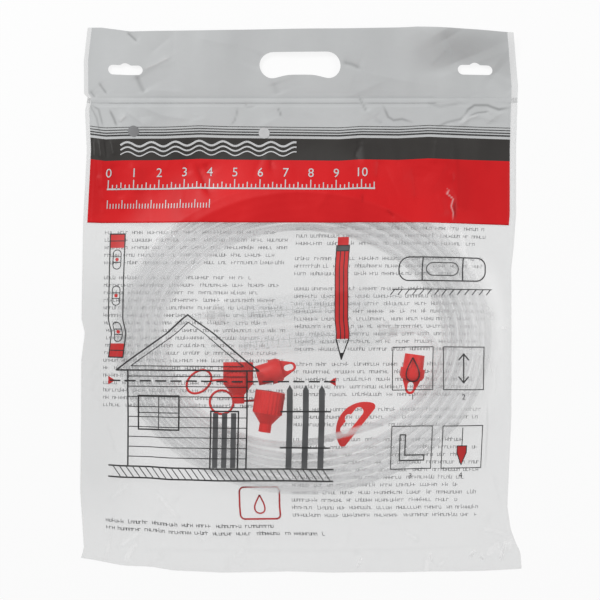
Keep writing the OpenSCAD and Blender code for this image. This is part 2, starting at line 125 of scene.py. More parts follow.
# A moulded or printed plastic: two close tints in soft clouds, uneven gloss and a fine skin
def plastic(name, dark, light, roughness, cloudScale, skinScale, skinDepth, alpha=1.0, specular=0.5):
    material, tree, shader = startMaterial(name)
    clouds = addNoise(tree, cloudScale, noiseDetail["clouds"])
    tree.links.new(addMix(tree, addRange(tree, clouds, 0, 1), dark, light), shader.inputs["Base Color"])
    tree.links.new(addRange(tree, clouds, *roughness), shader.inputs["Roughness"])
    addBump(tree, shader, addNoise(tree, skinScale, noiseDetail["skin"]), skinDepth)
    shader.inputs["Specular IOR Level"].default_value = specular
    shader.inputs["Alpha"].default_value = alpha
    return material


# Painted highlight and painted shade along the film's creases, kept on the mesh
def addMark(tree, name):
    mark = tree.nodes.new("ShaderNodeAttribute")
    mark.attribute_name = name
    return mark.outputs["Fac"]


# Clear film: faint haze, with painted highlights where the film is creased and painted shade along the dark
# creases
clearLook = {"cloudScale": 26, "cloudLift": 1.06, "skinScale": 42, "skinDepth": 0.0006, "roughness": 0.22,
             "highlightAt": 0.14, "white": (1, 1, 1), "shade": (0.1, 0.1, 0.1), "shadeCover": 0.3}


def clearFilm(name, tint, haze, creased):
    look = clearLook
    material, tree, shader = startMaterial(name)
    pale, dark = addMark(tree, "pale"), addMark(tree, "dark")
    clouds = addNoise(tree, look["cloudScale"], noiseDetail["clouds"])
    lighter = tuple(min(1, c * look["cloudLift"]) for c in tint)
    tinted = addMix(tree, addRange(tree, clouds, 0, 1), tint, lighter)
    filmWithHighlights = addMix(tree, addRange(tree, pale, 0, 1, 0, look["highlightAt"]), tinted, look["white"])
    tree.links.new(addMix(tree, dark, filmWithHighlights, look["shade"]), shader.inputs["Base Color"])
    cover = tree.nodes.new("ShaderNodeMath")
    cover.operation = "ADD"
    tree.links.new(addRange(tree, pale, haze, creased, 0, 1), cover.inputs[0])
    tree.links.new(addRange(tree, dark, 0, look["shadeCover"], 0, 1), cover.inputs[1])
    tree.links.new(cover.outputs[0], shader.inputs["Alpha"])
    addBump(tree, shader, addNoise(tree, look["skinScale"], noiseDetail["skin"]), look["skinDepth"])
    shader.inputs["Roughness"].default_value = look["roughness"]
    return material


# Opaque print on film: paler with painted highlights and darker with painted shade where the film is
# sharply creased
printLook = {"cloudStretch": (1, 0.35, 1), "highlightFrom": 0.1, "highlightMost": 0.9, "highlightTint": (0.9, 0.88, 0.87),
             "shade": 0.22, "roughness": (0.42, 0.54), "specular": 0.26, "skinScale": 60,
             "skinDepth": 0.0004}


def printedFilm(name, dark, light, cloudScale):
    look = printLook
    material, tree, shader = startMaterial(name)
    clouds = addNoise(tree, cloudScale, noiseDetail["clouds"], look["cloudStretch"])
    tinted = addMix(tree, addRange(tree, clouds, 0, 1), dark, light)
    highlightShare = addRange(tree, addMark(tree, "pale"), 0, look["highlightMost"], look["highlightFrom"], 1)
    printWithHighlights = addMix(tree, highlightShare, tinted, look["highlightTint"])
    shaded = addMix(tree, addMark(tree, "dark"), printWithHighlights, tuple(c * look["shade"] for c in dark))
    tree.links.new(shaded, shader.inputs["Base Color"])
    tree.links.new(addRange(tree, clouds, *look["roughness"]), shader.inputs["Roughness"])
    addBump(tree, shader, addNoise(tree, look["skinScale"], noiseDetail["skin"]), look["skinDepth"])
    shader.inputs["Specular IOR Level"].default_value = look["specular"]
    return material


# the cover rises under the painted highlights and painted shade along the creases
clearFilms = {  # tint, haze, and cover where the film is creased
    "film": ((0.36, 0.37, 0.375), 0.05, 0.7),
    "backFilm": ((0.37, 0.38, 0.385), 0.12, 0.5),
    "headerFilm": ((0.36, 0.37, 0.375), 0.19, 0.6),
}
printedFilms = {  # two tints and the scale of the clouds
    "greyPrint": ((0.545, 0.556, 0.56), (0.6, 0.612, 0.615), 18),
    "blackPrint": ((0.036, 0.033, 0.031), (0.05, 0.047, 0.044), 22),
    "redPrint": ((0.63, 0.006, 0.01), (0.76, 0.013, 0.016), 14),
}
inkSkin = (60, 300, 0.0001)
plastics = {  # two tints, roughness, scale of clouds and skin, skin depth, then cover and gloss
    "blackInk": ((0.02, 0.02, 0.021), (0.035, 0.035, 0.036), (0.4, 0.55), *inkSkin),
    "greyInk": ((0.075, 0.076, 0.08), (0.11, 0.112, 0.115), (0.4, 0.55), *inkSkin),
    "faintInk": ((0.13, 0.132, 0.138), (0.2, 0.202, 0.208), (0.45, 0.6), *inkSkin, 0.76),
    "middleInk": ((0.2, 0.2, 0.205), (0.26, 0.262, 0.268), (0.45, 0.6), *inkSkin),
    "paleInk": ((0.58, 0.585, 0.59), (0.66, 0.665, 0.67), (0.35, 0.5), *inkSkin),
    "redInk": ((0.55, 0.02, 0.022), (0.66, 0.03, 0.03), (0.4, 0.5), *inkSkin),
    "hose": ((0.9, 0.905, 0.91), (0.98, 0.985, 0.99), (0.1, 0.18), 40, 150, 0.0002, 0.14, 0.9),
    "flask": ((0.8, 0.84, 0.85), (0.88, 0.91, 0.92), (0.08, 0.16), 30, 200, 0.0001, 0.05, 0.6),
    "strip": ((0.84, 0.86, 0.87), (0.9, 0.91, 0.92), (0.2, 0.3), 60, 200, 0.0001, 0.12),
    "adapter": ((0.82, 0.83, 0.825), (0.9, 0.905, 0.9), (0.25, 0.38), 90, 500, 0.0001, 0.2),
    "scaleInk": ((0.1, 0.1, 0.105), (0.16, 0.16, 0.165), (0.4, 0.5), 90, 300, 0.0001, 0.3),
    "redPlastic": ((0.84, 0.014, 0.012), (0.95, 0.026, 0.022), (0.42, 0.55), 70, 700, 0.00012, 1.0, 0.36),
    "seal": ((0.6, 0.6, 0.57), (0.68, 0.675, 0.65), (0.5, 0.65), 120, 600, 0.0002),
}
finishes = {}
for make, looks in ((clearFilm, clearFilms), (printedFilm, printedFilms), (plastic, plastics)):
    for name, look in looks.items():
        finishes[name] = make(name, *look)
print("materials made:", len(finishes))


# Helpers for pieces: a mesh is made in millimetres and becomes an object in metres
def makeObject(name, mesh):
    data = bpy.data.meshes.new(name)
    mesh.to_mesh(data)
    mesh.free()
    made = bpy.data.objects.new(name, data)
    scene.collection.objects.link(made)
    return made


def evaluatedMesh(made):
    bpy.context.view_layer.update()
    return bpy.data.meshes.new_from_object(made.evaluated_get(bpy.context.evaluated_depsgraph_get()))


allSmooth = 180  # degrees, so that no edge of a sheet or a print stays sharp


def addPiece(name, mesh, finish, body, replaced, sharp=38):
    bmesh.ops.transform(mesh, matrix=Matrix.Scale(mm, 4), verts=mesh.verts)
    for edge in mesh.edges:
        edge.smooth = edge.calc_face_angle(0) < math.radians(sharp)
    for face in mesh.faces:
        face.smooth = True
    piece = makeObject(name, mesh)
    for one in finish if isinstance(finish, list) else [finish]:
        piece.data.materials.append(finishes[one])
    if body:
        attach(piece, body)
    if replaced:
        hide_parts(*replaced)
    return piece


def addThickness(piece, thick):
    solid = piece.modifiers.new("thickness", "SOLIDIFY")
    solid.thickness = thick * mm
    solid.offset = -1.0


mergeGap = 0.0005  # points closer than this become one


# Spins what the mesh holds once round Z and closes it
def spinRound(mesh, steps):
    bmesh.ops.spin(mesh, geom=mesh.verts[:] + mesh.edges[:], cent=(0, 0, 0), axis=upright, angle=math.tau,
                   steps=steps, use_merge=True)
    bmesh.ops.remove_doubles(mesh, verts=mesh.verts, dist=mergeGap)
    bmesh.ops.recalc_face_normals(mesh, faces=mesh.faces)


def addOutline(mesh, corners):
    return [mesh.edges.new(pair) for pair in zip(corners, corners[1:] + corners[:1])]


def spun(profile, steps):
    mesh = bmesh.new()
    addOutline(mesh, [mesh.verts.new((r, 0, along)) for r, along in profile])
    spinRound(mesh, steps)
    return mesh


def bevelEdges(mesh, edges, offset, segments):
    bmesh.ops.bevel(mesh, geom=edges, offset=offset, offset_type="OFFSET", affect="EDGES",
                    segments=segments, profile=0.5, material=-1, clamp_overlap=True)


def softenEdges(mesh, offset, segments, angle=35):
    sharp = [edge for edge in mesh.edges if edge.calc_face_angle(0) > math.radians(angle)]
    bevelEdges(mesh, sharp, offset, segments)


def raiseFaces(mesh, faces, height):
    raised = bmesh.ops.extrude_face_region(mesh, geom=faces)["geom"]
    tops = [part for part in raised if isinstance(part, bmesh.types.BMVert)]
    bmesh.ops.translate(mesh, vec=(0, 0, height), verts=tops)


def rotation(degrees, axis):
    return Matrix.Rotation(math.radians(degrees), 4, axis)


def placeMatrix(place):
    return Matrix.Translation((*place["at"], place["z"])) @ rotation(place["turn"], "Z")


# Lays a piece that was made along Z down along X, turned and in its place
def layDown(mesh, place):
    bmesh.ops.transform(mesh, matrix=placeMatrix(place) @ rotation(90, "Y"), verts=mesh.verts)


def alongPlace(place, along, aside=0.0):
    turn = math.radians(place["turn"])
    return (place["at"][0] + along * math.cos(turn) - aside * math.sin(turn),
            place["at"][1] + along * math.sin(turn) + aside * math.cos(turn))


# Places of what lies in the bag
flaskPlaces = {1: {"at": (-71.0, -13.0), "turn": 5.0, "z": 14.55},
               2: {"at": (71.0209, -29.9867), "turn": 185.0, "z": 14.55}}
capPlaces = {1: {"at": (-59.7, -58.2258), "turn": -90.0, "z": 14.8, "lugAlong": 16.5},
             2: {"at": (-29.5, -85.4773), "turn": -98.5, "z": 14.8, "lugAlong": 11.0}}
ringPlaces = {1: {"at": (-96.8, -76.8), "half": (12.987, 9.213), "turn": 40.0},
              2: {"at": (-75.5, -96.0), "half": (11.1, 11.1), "turn": 0.0}}
stopperPlaces = {1: {"at": (-42.0, -70.9773), "turn": 15.0, "z": 12.3},
                 2: {"at": (105.6, -51.0), "turn": -98.0, "z": 12.3}}
clipPlace = {"at": (46.8, -113.2), "turn": 51.5, "z": 0.8}

# Hose: from the first flask through the coil to the second flask, in one line
hose = {
    "diameter": 7.0, "wall": 1.1, "roundness": 6, "pitch": 7.6, "inner": (129.5, 99.5), "middle": -37.0,
    "startAngle": 200.0, "turns": 11 + 138 / 360, "lowZ": 4.3, "climbTurns": 0.5, "endTurns": 0.25,
    "clipRise": 3.4, "clipAngle": 290.0, "clipSpread": 60.0,
    "clipPull": 8.0, "pullSpread": 24.0, "pullTurns": 0.6,
    # each layer's wander and drift: how far, how many waves a turn, and from which angle
    "slack": {"low": (0.036, 1, 1.0, 0.5, 3, 1.2), "high": (0.036, 2, 3.9, 0.7, 2, 0.4)},
    "pointsATurn": 96, "leadSteps": 8, "leadTurns": 1 / 60, "socketEnd": -10.3, "tailMouth": -18.0,
    "leads": {1: [(-127.5, -45.7, 5.6), (-122.6, -31, 8.4), (-111.6, -20.1, 12), (-96.9, -15.2, 14.3)],
              2: [(126.3, -51.4, 12.7), (121.8, -38.9, 13.4), (111.6, -30.2, 14.1), (98.3, -27.8, 14.5)]},
}


def smoothStep(f):
    f = np.clip(f, 0, 1)
    return f * f * (3 - 2 * f)


# Two layers: the coil winds outwards below, climbs at its middle, and winds inwards on top
def coilPoint(t):
    angle = hose["startAngle"] + 360 * t
    away = abs((angle - hose["clipAngle"]) % 360)
    off = min(away, 360 - away)
    rise = 0.0
    if off < hose["clipSpread"]:
        rise = hose["clipRise"] * math.cos(math.radians(90 * off / hose["clipSpread"])) ** 2
    half = hose["turns"] / 2
    out = hose["pitch"] * (half - abs(t - half))
    a = math.radians(angle)
    fromEnd = min(t, hose["turns"] - t)
    ends = smoothStep(fromEnd / hose["endTurns"])
    layer = smoothStep((t - half) / hose["climbTurns"] + 0.5)
    for share, slack in zip((1 - layer, layer), hose["slack"].values()):
        spread, waves, turn, shift, shiftWaves, shiftTurn = slack
        wander = out * spread * (1 + math.sin(waves * a + turn))
        drift = shift * (1 + math.sin(shiftWaves * a + shiftTurn))
        out += ends * share * (wander + drift)
    if fromEnd < hose["pullTurns"]:  # the innermost turns are drawn in over the clip
        out -= hose["clipPull"] * math.exp(-(off / hose["pullSpread"]) ** 2)
    x = (hose["inner"][0] + out) * math.cos(a)
    y = hose["middle"] + (hose["inner"][1] + out) * math.sin(a)
    return Vector((x, y, hose["lowZ"] + layer * hose["pitch"] + rise))


# A smooth line through the points
def throughPoints(points, steps):
    padded = [2 * points[0] - points[1], *points, 2 * points[-1] - points[-2]]
    line = []
    for before, start, end, after in zip(padded, padded[1:], padded[2:], padded[3:]):
        for step in range(steps):
            f = step / steps
            bend = (2 * before - 5 * start + 4 * end - after) * f ** 2
            twist = (3 * start - before - 3 * end + after) * f ** 3
            line.append(0.5 * (2 * start + (end - before) * f + bend + twist))
    return line + [points[-1]]


def hoseLine():
    count = round(hose["turns"] * hose["pointsATurn"])
    coil = [coilPoint(hose["turns"] * i / count) for i in range(count + 1)]
    head, tail = coilPoint(-hose["leadTurns"]), coilPoint(hose["turns"] + hose["leadTurns"])
    ends = []
    for number, near in ((1, head), (2, tail)):
        place = flaskPlaces[number]
        mouths = [alongPlace(place, along) for along in (hose["tailMouth"], hose["socketEnd"])]
        sockets = [Vector((*mouth, place["z"])) for mouth in mouths]
        route = [Vector(point) for point in hose["leads"][number]]
        ends.append(throughPoints([near, *route, *sockets], hose["leadSteps"]))
    return ends[0][::-1] + coil + ends[1]


def addHose():
    line = hoseLine()
    curve = bpy.data.curves.new("hose", "CURVE")
    curve.dimensions = "3D"
    curve.bevel_depth = hose["diameter"] / 2 * mm
    curve.bevel_resolution = hose["roundness"]
    spline = curve.splines.new("POLY")
    spline.points.add(len(line) - 1)
    for point, place in zip(spline.points, line):
        point.co = (*(place * mm), 1)
    curve.materials.append(finishes["hose"])
    piece = bpy.data.objects.new("hose", curve)
    scene.collection.objects.link(piece)
    addThickness(piece, hose["wall"])
    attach(piece, "bag")
    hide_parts("hose_coil", "hose_lead_1", "hose_lead_2")


addHose()

# Flask: clear body with a tapered foot, a shoulder and a rimmed neck
flask = {
    "radius": 13.75, "wall": 1.4, "body": 145.0, "shoulder": 6.0, "neckRadius": 9.8, "neck": 12.0,
    "rimStep": 0.7, "rim": 2.2, "foot": 6.0, "footRadius": 9.5, "footBore": 7.5, "round": 1.2, "steps": 64,
    "stripArc": 56.0, "stripLength": 116.0, "stripLift": 0.05, "stripRoom": 0.25, "stripThick": 0.15,
    "stripCells": (24, 14), "marks": 20, "markWidth": 0.4, "markInset": 6.0, "markAside": -1.0,
    "longMark": 9.0, "shortMark": 5.0, "numberHeight": 2.76, "numberAside": 5.6, "inkLift": 0.05,
}
adapter = {
    "collarRadius": 10.0, "collar": 5.0, "tailRadius": 5.5, "tailStep": 0.6, "tail": 7.0,
    "socketRadius": 3.85, "socket": 8.0, "spigotRadius": 7.4, "spigot": 5.0, "waterRadius": 2.0,
    "round": 0.5,
}


def flaskMesh():
    f = flask
    r, neck, foot = f["radius"], f["neckRadius"], -f["foot"]
    inside, bore, rim = r - f["wall"], neck - f["wall"], neck + f["rimStep"]
    shoulder = f["body"] + f["shoulder"]
    mouth = shoulder + f["neck"]
    mesh = spun([
        (f["footBore"], foot), (f["footRadius"], foot), (r, 0), (r, f["body"]), (neck, shoulder),
        (neck, mouth - f["rim"]), (rim, mouth - f["rim"]), (rim, mouth), (bore, mouth), (bore, shoulder),
        (inside, f["body"]), (inside, 0), (f["footBore"], foot / 2)], f["steps"])
    softenEdges(mesh, f["round"], 3, 20)
    return mesh


# The top of a flask lies towards -X before it is laid down
def aroundFlask(along, aside, radius):
    angle = aside / flask["radius"]
    return Vector((-radius * math.cos(angle), radius * math.sin(angle), along))


def wrapOnFlask(mesh, radius):
    for vert in mesh.verts:
        vert.co = aroundFlask(vert.co.x, vert.co.y, radius)


def stripMesh():
    half = math.radians(flask["stripArc"] / 2) * flask["radius"]
    start = (flask["body"] - flask["stripLength"]) / 2
    along, across = flask["stripCells"]
    mesh = bmesh.new()
    bmesh.ops.create_grid(mesh, x_segments=along, y_segments=across, size=1)
    for vert in mesh.verts:
        vert.co = (start + flask["stripLength"] * (vert.co.x + 1) / 2, half * vert.co.y, 0)
    wrapOnFlask(mesh, flask["radius"] + flask["stripLift"])
    bmesh.ops.recalc_face_normals(mesh, faces=mesh.faces)
    bmesh.ops.solidify(mesh, geom=mesh.faces[:], thickness=flask["stripThick"])
    return mesh


barCell = 2.5  # a bar is divided about this finely, so that it follows what it lies on
digitShare = 0.7  # a digit's height as a share of its font's size


def addBar(mesh, start, end, width):
    start, end = Vector((*start, 0)), Vector((*end, 0))
    way = end - start
    matrix = (Matrix.Translation((start + end) / 2) @ Matrix.Rotation(math.atan2(way.y, way.x), 4, "Z")
              @ Matrix.Diagonal((way.length / 2, width / 2, 1, 1)))
    along, across = [max(1, round(size / barCell)) for size in (way.length, width)]
    bmesh.ops.create_grid(mesh, x_segments=along, y_segments=across, size=1, matrix=matrix)


def addNumber(mesh, text, middle, height, turn=0.0):
    words = bpy.data.curves.new("number", "FONT")
    words.body = text
    words.align_x = "CENTER"
    words.align_y = "CENTER"
    words.size = height / digitShare
    words.resolution_u = 3
    helper = bpy.data.objects.new("number", words)
    scene.collection.objects.link(helper)
    data = evaluatedMesh(helper)
    data.transform(Matrix.Translation((*middle, 0)) @ rotation(turn, "Z"))
    mesh.from_mesh(data)
    bpy.data.objects.remove(helper)
    bpy.data.curves.remove(words)
    bpy.data.meshes.remove(data)


def marksMesh():
    f = flask
    mesh = bmesh.new()
    start = (f["body"] - f["stripLength"]) / 2 + f["markInset"]
    end, aside = f["body"] - start, f["markAside"]
    addBar(mesh, (start, aside), (end, aside), f["markWidth"])
    for number in range(f["marks"] + 1):
        along = start + (end - start) * number / f["marks"]
        isLong = number % 2 == 0
        reach = f["longMark"] if isLong else f["shortMark"]
        addBar(mesh, (along, aside - reach / 2), (along, aside + reach / 2), f["markWidth"])
        if isLong:
            addNumber(mesh, str(number // 2), (along, f["numberAside"]), f["numberHeight"], -90)
    bmesh.ops.triangulate(mesh, faces=[face for face in mesh.faces if len(face.verts) > 4])
    wrapOnFlask(mesh, f["radius"] + f["stripLift"] + f["stripRoom"] + f["inkLift"])
    return mesh


def adapterMesh():
    a, foot = adapter, -flask["foot"]
    spigotEnd, collarEnd = foot + a["spigot"], foot - a["collar"]
    tailEnd = collarEnd - a["tail"]
    socketEnd = tailEnd + a["socket"]
    mesh = spun([
        (a["waterRadius"], spigotEnd), (a["spigotRadius"], spigotEnd), (a["spigotRadius"], foot),
        (a["collarRadius"], foot), (a["collarRadius"], collarEnd),
        (a["tailRadius"] + a["tailStep"], collarEnd), (a["tailRadius"], tailEnd),
        (a["socketRadius"], tailEnd), (a["socketRadius"], socketEnd), (a["waterRadius"], socketEnd)],
        flask["steps"])
    softenEdges(mesh, a["round"], 2)
    return mesh


def addFlasks():
    for number, body in ((1, "flask_1"), (2, "bag")):
        name = "flask_%d_" % number
        made = [("tube", flaskMesh(), "flask", "flask", [name + "tube"]),
                ("strip", stripMesh(), "strip", "flask", [name + "scale"]),
                ("marks", marksMesh(), "scaleInk", "scale_marks", []),
                ("foot", adapterMesh(), "adapter", "adapter", [name + "adapter"])]
        for part, mesh, finish, slot, replaced in made:
            layDown(mesh, flaskPlaces[number])
            addPiece("flask%d_%s" % (number, part), mesh, finish, body, replaced)
    print("flasks made")


addFlasks()

# Cap: ribbed skirt, cone and nozzle, with a lug for the strap
cap = {
    "radius": 14.0, "skirt": 21.0, "cupRadius": 10.9, "cup": 16.0, "cone": 9.5, "nozzleRadius": 5.75,
    "nozzle": 8.0, "ventRadius": 2.25, "ribs": 24, "ribDepth": 0.8, "round": 0.35, "rimBand": 2.4,
    "lugReach": 13.6, "lugStart": 6.0, "lugWidth": 3.4, "lugThick": 2.2, "lugDrop": 13.7, "lugRound": 0.5,
    "seal": 1.5, "sealRadius": 10.7, "sealGap": 0.02, "sealRound": 0.25, "sealSteps": 48,
}
ring = {"radius": 11.1, "thick": 2.2, "z": 1.9, "sides": 14, "steps": 72,
        "strapGap": 0.3, "strapSink": 0.2, "strapTaper": 0.9}


def capMesh(place):
    c = cap
    groove, stepsARib = c["radius"] - c["ribDepth"], 4
    coneEnd = c["skirt"] + c["cone"]
    top = coneEnd + c["nozzle"]
    mesh = spun([
        (c["cupRadius"], 0), (c["radius"], 0), (c["radius"], c["rimBand"]), (c["radius"], c["skirt"]),
        (groove, c["skirt"]), (c["nozzleRadius"], coneEnd), (c["nozzleRadius"], top),
        (c["ventRadius"], top), (c["ventRadius"], c["cup"]), (c["cupRadius"], c["cup"])],
        stepsARib * c["ribs"])
    for vert in mesh.verts:
        reach = vert.co.xy.length
        share = math.atan2(vert.co.y, vert.co.x) / math.tau
        step = round(share * stepsARib * c["ribs"]) % stepsARib
        if reach > groove + 0.01 and vert.co.z > c["rimBand"] / 2 and step in (2, 3):
            vert.co.xy *= groove / reach  # two steps of each four are the groove between ribs
    bmesh.ops.remove_doubles(mesh, verts=mesh.verts, dist=0.001)
    softenEdges(mesh, c["round"], 2, 30)
    lug = bmesh.ops.create_cube(mesh, size=1)["verts"]
    middle = (c["lugDrop"] - c["lugThick"] / 2, -(c["lugReach"] + c["lugStart"]) / 2, place["lugAlong"])
    size = Matrix.Diagonal((c["lugThick"], c["lugReach"] - c["lugStart"], c["lugWidth"], 1))
    bmesh.ops.transform(mesh, verts=lug, matrix=Matrix.Translation(middle) @ size)
    bevelEdges(mesh, [edge for edge in mesh.edges if edge.verts[0] in lug], c["lugRound"], 2)
    return mesh


def sealMesh():
    c = cap
    low, high = c["cup"] - c["seal"], c["cup"] - c["sealGap"]
    mesh = spun([(c["ventRadius"], low), (c["sealRadius"], low), (c["sealRadius"], high),
                 (c["ventRadius"], high)], c["sealSteps"])
    softenEdges(mesh, c["sealRound"], 2)
    return mesh


# Neck ring, bent to the oval that it lies in, with its strap
def tetherMesh(number):
    place, lying, r = capPlaces[number], ringPlaces[number], ring["thick"] / 2
    half, turn = Vector(lying["half"]), math.radians(lying["turn"])
    way = Vector(alongPlace(place, place["lugAlong"], -cap["lugReach"])) - Vector(lying["at"])
    mesh = bmesh.new()
    bmesh.ops.create_circle(mesh, segments=ring["sides"], radius=r,
                            matrix=Matrix.Translation((ring["radius"], 0, 0)) @ rotation(90, "X"))
    spinRound(mesh, ring["steps"])
    for vert in mesh.verts:
        toRim = vert.co.xy.normalized()
        square = Vector((toRim.x / half.x, toRim.y / half.y)).normalized()
        vert.co.xy = toRim * half + square * (vert.co.xy.length - ring["radius"])
    wayTurn = math.atan2(way.y, way.x)
    reach = 1 / math.hypot(math.cos(wayTurn - turn) / half.x, math.sin(wayTurn - turn) / half.y)
    start, end = reach + ring["thick"] * ring["strapSink"], way.length - ring["strapGap"]
    bmesh.ops.rotate(mesh, cent=(0, 0, 0), matrix=Matrix.Rotation(turn - wayTurn, 3, "Z"), verts=mesh.verts)
    bmesh.ops.create_cone(mesh, cap_ends=True, segments=ring["sides"], radius1=r * ring["strapTaper"],
                          radius2=r, depth=end - start,
                          matrix=Matrix.Translation(((start + end) / 2, 0, 0)) @ rotation(90, "Y"))
    bmesh.ops.transform(mesh, verts=mesh.verts, matrix=Matrix.Translation((*lying["at"], ring["z"]))
                        @ Matrix.Rotation(wayTurn, 4, "Z"))
    return mesh


def addCaps():
    for number in (1, 2):
        body = "cap_%d" % number
        tether = "tether_%d" % number
        mesh, washer = capMesh(capPlaces[number]), sealMesh()
        layDown(mesh, capPlaces[number])
        layDown(washer, capPlaces[number])
        addPiece("cap%d" % number, mesh, "redPlastic", body, [body])
        addPiece("cap%d_seal" % number, washer, "seal", body, [body + "_seal"])
        addPiece("tether%d" % number, tetherMesh(number), "redPlastic", tether, [tether])
    print("caps and neck rings made")


addCaps()

# Stopper: barrel, collar and a flat pull loop with an eye
stopper = {
    "barrelRadius": 9.75, "barrel": 13.0, "barrelTaper": 0.5, "boreRadius": 6.0, "bore": 11.0,
    "gripRadius": 11.5, "grip": 10.5, "gripShare": 0.72, "gripTaper": 1.6, "steps": 72, "round": 0.7,
    "loop": 14.0, "loopWidth": 18.0, "loopThick": 4.5, "loopSink": 1.0, "loopRound": 0.9, "tipRadius": 4.6,
    "tipSteps": 16, "eyeWidth": 5.6, "eyeLength": 9.0, "eyeShift": 6, "outlinePoints": 48,
}
clip = {
    "length": 51.0, "width": 21.5, "thick": 2.4, "round": 0.6, "archRadius": 27.5, "archSteps": 40,
    "cornerRadius": 4.0, "cornerSteps": 8, "slot": 30.0, "slotWidth": 8.3, "slotSteps": 14, "rim": 5.8,
    "seatRadius": 4.1, "seatDepth": 3.1, "outlinePoints": 120,
}


def arc(x, y, r, start, end, steps):
    turns = [math.radians(start + (end - start) * step / steps) for step in range(steps + 1)]
    return [(x + r * math.cos(turn), y + r * math.sin(turn)) for turn in turns]


def slotOutline(length, width, points, middle=0.0):
    half, r = (length - width) / 2, width / 2
    run = 4 * half + math.tau * r
    outline = []
    for step in range(points):
        s = run * step / points
        if s < 2 * half:
            outline.append((middle - half + s, -r))
        elif s < 2 * half + math.pi * r:
            a = (s - 2 * half) / r - math.pi / 2
            outline.append((middle + half + r * math.cos(a), r * math.sin(a)))
        elif s < 4 * half + math.pi * r:
            outline.append((middle + half - (s - 2 * half - math.pi * r), r))
        else:
            a = (s - 4 * half - math.pi * r) / r + math.pi / 2
            outline.append((middle - half + r * math.cos(a), r * math.sin(a)))
    return outline


# A flat plate with a hole: two outlines of as many points, bridged and raised
def plateMesh(outer, inner, thick, soft):
    mesh = bmesh.new()
    edges = []
    for outline in (outer, inner):
        edges += addOutline(mesh, [mesh.verts.new((x, y, 0)) for x, y in outline])
    bmesh.ops.bridge_loops(mesh, edges=edges)
    raiseFaces(mesh, mesh.faces[:], thick)
    bmesh.ops.recalc_face_normals(mesh, faces=mesh.faces)
    softenEdges(mesh, soft, 3, 60)
    return mesh


def loopOutline(points):
    s = stopper
    end, half = s["barrel"] + s["grip"], s["loopWidth"] / 2
    base, tip = end - s["loopSink"], end + s["loop"] - s["tipRadius"]
    lean = math.atan2(half - s["tipRadius"], tip - base)
    tipTurn = 90 - math.degrees(lean) / 2
    tipArc = arc(tip, 0, s["tipRadius"], -tipTurn, tipTurn, s["tipSteps"])
    return evenOutline([(base, -half), *tipArc, (base, half)], points)


# An outline with its points set evenly, starting at its first corner
def evenOutline(corners, points):
    closed = [Vector(c) for c in corners] + [Vector(corners[0])]
    runs = np.concatenate([[0], np.cumsum([(b - a).length for a, b in zip(closed, closed[1:])])])
    places = np.linspace(0, runs[-1], points, endpoint=False)
    xs = np.interp(places, runs, [p.x for p in closed])
    ys = np.interp(places, runs, [p.y for p in closed])
    return list(zip(xs, ys))


def stopperMesh():
    s = stopper
    end, points, shift = s["barrel"] + s["grip"], s["outlinePoints"], s["eyeShift"]
    shoulder = s["barrel"] + s["grip"] * s["gripShare"]
    mesh = spun([
        (s["boreRadius"], 0), (s["barrelRadius"] - s["barrelTaper"], 0), (s["barrelRadius"], s["barrel"]),
        (s["gripRadius"], s["barrel"]), (s["gripRadius"], shoulder),
        (s["gripRadius"] - s["gripTaper"], end), (mergeGap, end), (mergeGap, s["bore"]),
        (s["boreRadius"], s["bore"])], s["steps"])
    softenEdges(mesh, s["round"], 3)
    eye = slotOutline(s["eyeLength"], s["eyeWidth"], points, end + s["loop"] / 2)
    eye = eye[-shift:] + eye[:-shift]  # starts where the loop's outline does
    loop = plateMesh(loopOutline(points), eye, s["loopThick"], s["loopRound"])
    stand = rotation(-90, "Y") @ Matrix.Translation((0, 0, -s["loopThick"] / 2))
    bmesh.ops.transform(loop, matrix=stand, verts=loop.verts)
    data = bpy.data.meshes.new("loop")
    loop.to_mesh(data)
    loop.free()
    mesh.from_mesh(data)
    bpy.data.meshes.remove(data)
    return mesh


# Half-moon plate: a straight side, an arched side, and a slot with a round seat for the hose
def clipMesh():
    c, points = clip, clip["outlinePoints"]
    r, half, slotHalf = c["cornerRadius"], c["length"] / 2, c["slotWidth"] / 2
    corner, ends = c["cornerSteps"], c["slotSteps"]
    low = -slotHalf - c["rim"]
    archMiddle = low + c["width"] - c["archRadius"]
    archStart = math.degrees(math.acos(half / c["archRadius"]))
    outer = (arc(half - r, low + r, r, -90, 0, corner)
             + arc(0, archMiddle, c["archRadius"], archStart, 180 - archStart, c["archSteps"])
             + arc(r - half, low + r, r, 180, 270, corner))
    seatMiddle = slotHalf + c["seatDepth"] - c["seatRadius"]
    seatStart = math.degrees(math.asin((slotHalf - seatMiddle) / c["seatRadius"]))
    end = c["slot"] / 2 - slotHalf
    inner = (arc(end, 0, slotHalf, -90, 90, ends)
             + arc(0, seatMiddle, c["seatRadius"], seatStart, 180 - seatStart, ends)
             + arc(-end, 0, slotHalf, 90, 270, ends))
    mesh = plateMesh(evenOutline(outer, points), evenOutline(inner, points), c["thick"], c["round"])
    bmesh.ops.transform(mesh, matrix=placeMatrix(clipPlace), verts=mesh.verts)
    return mesh


def addFittings():
    for number in (1, 2):
        mesh = stopperMesh()
        layDown(mesh, stopperPlaces[number])
        body = "stopper_%d" % number
        addPiece("stopper%d" % number, mesh, "redPlastic", body, [body])
    addPiece("clip", clipMesh(), "redPlastic", "clip", ["hose_clip"])
    print("stoppers and clip made")


addFittings()

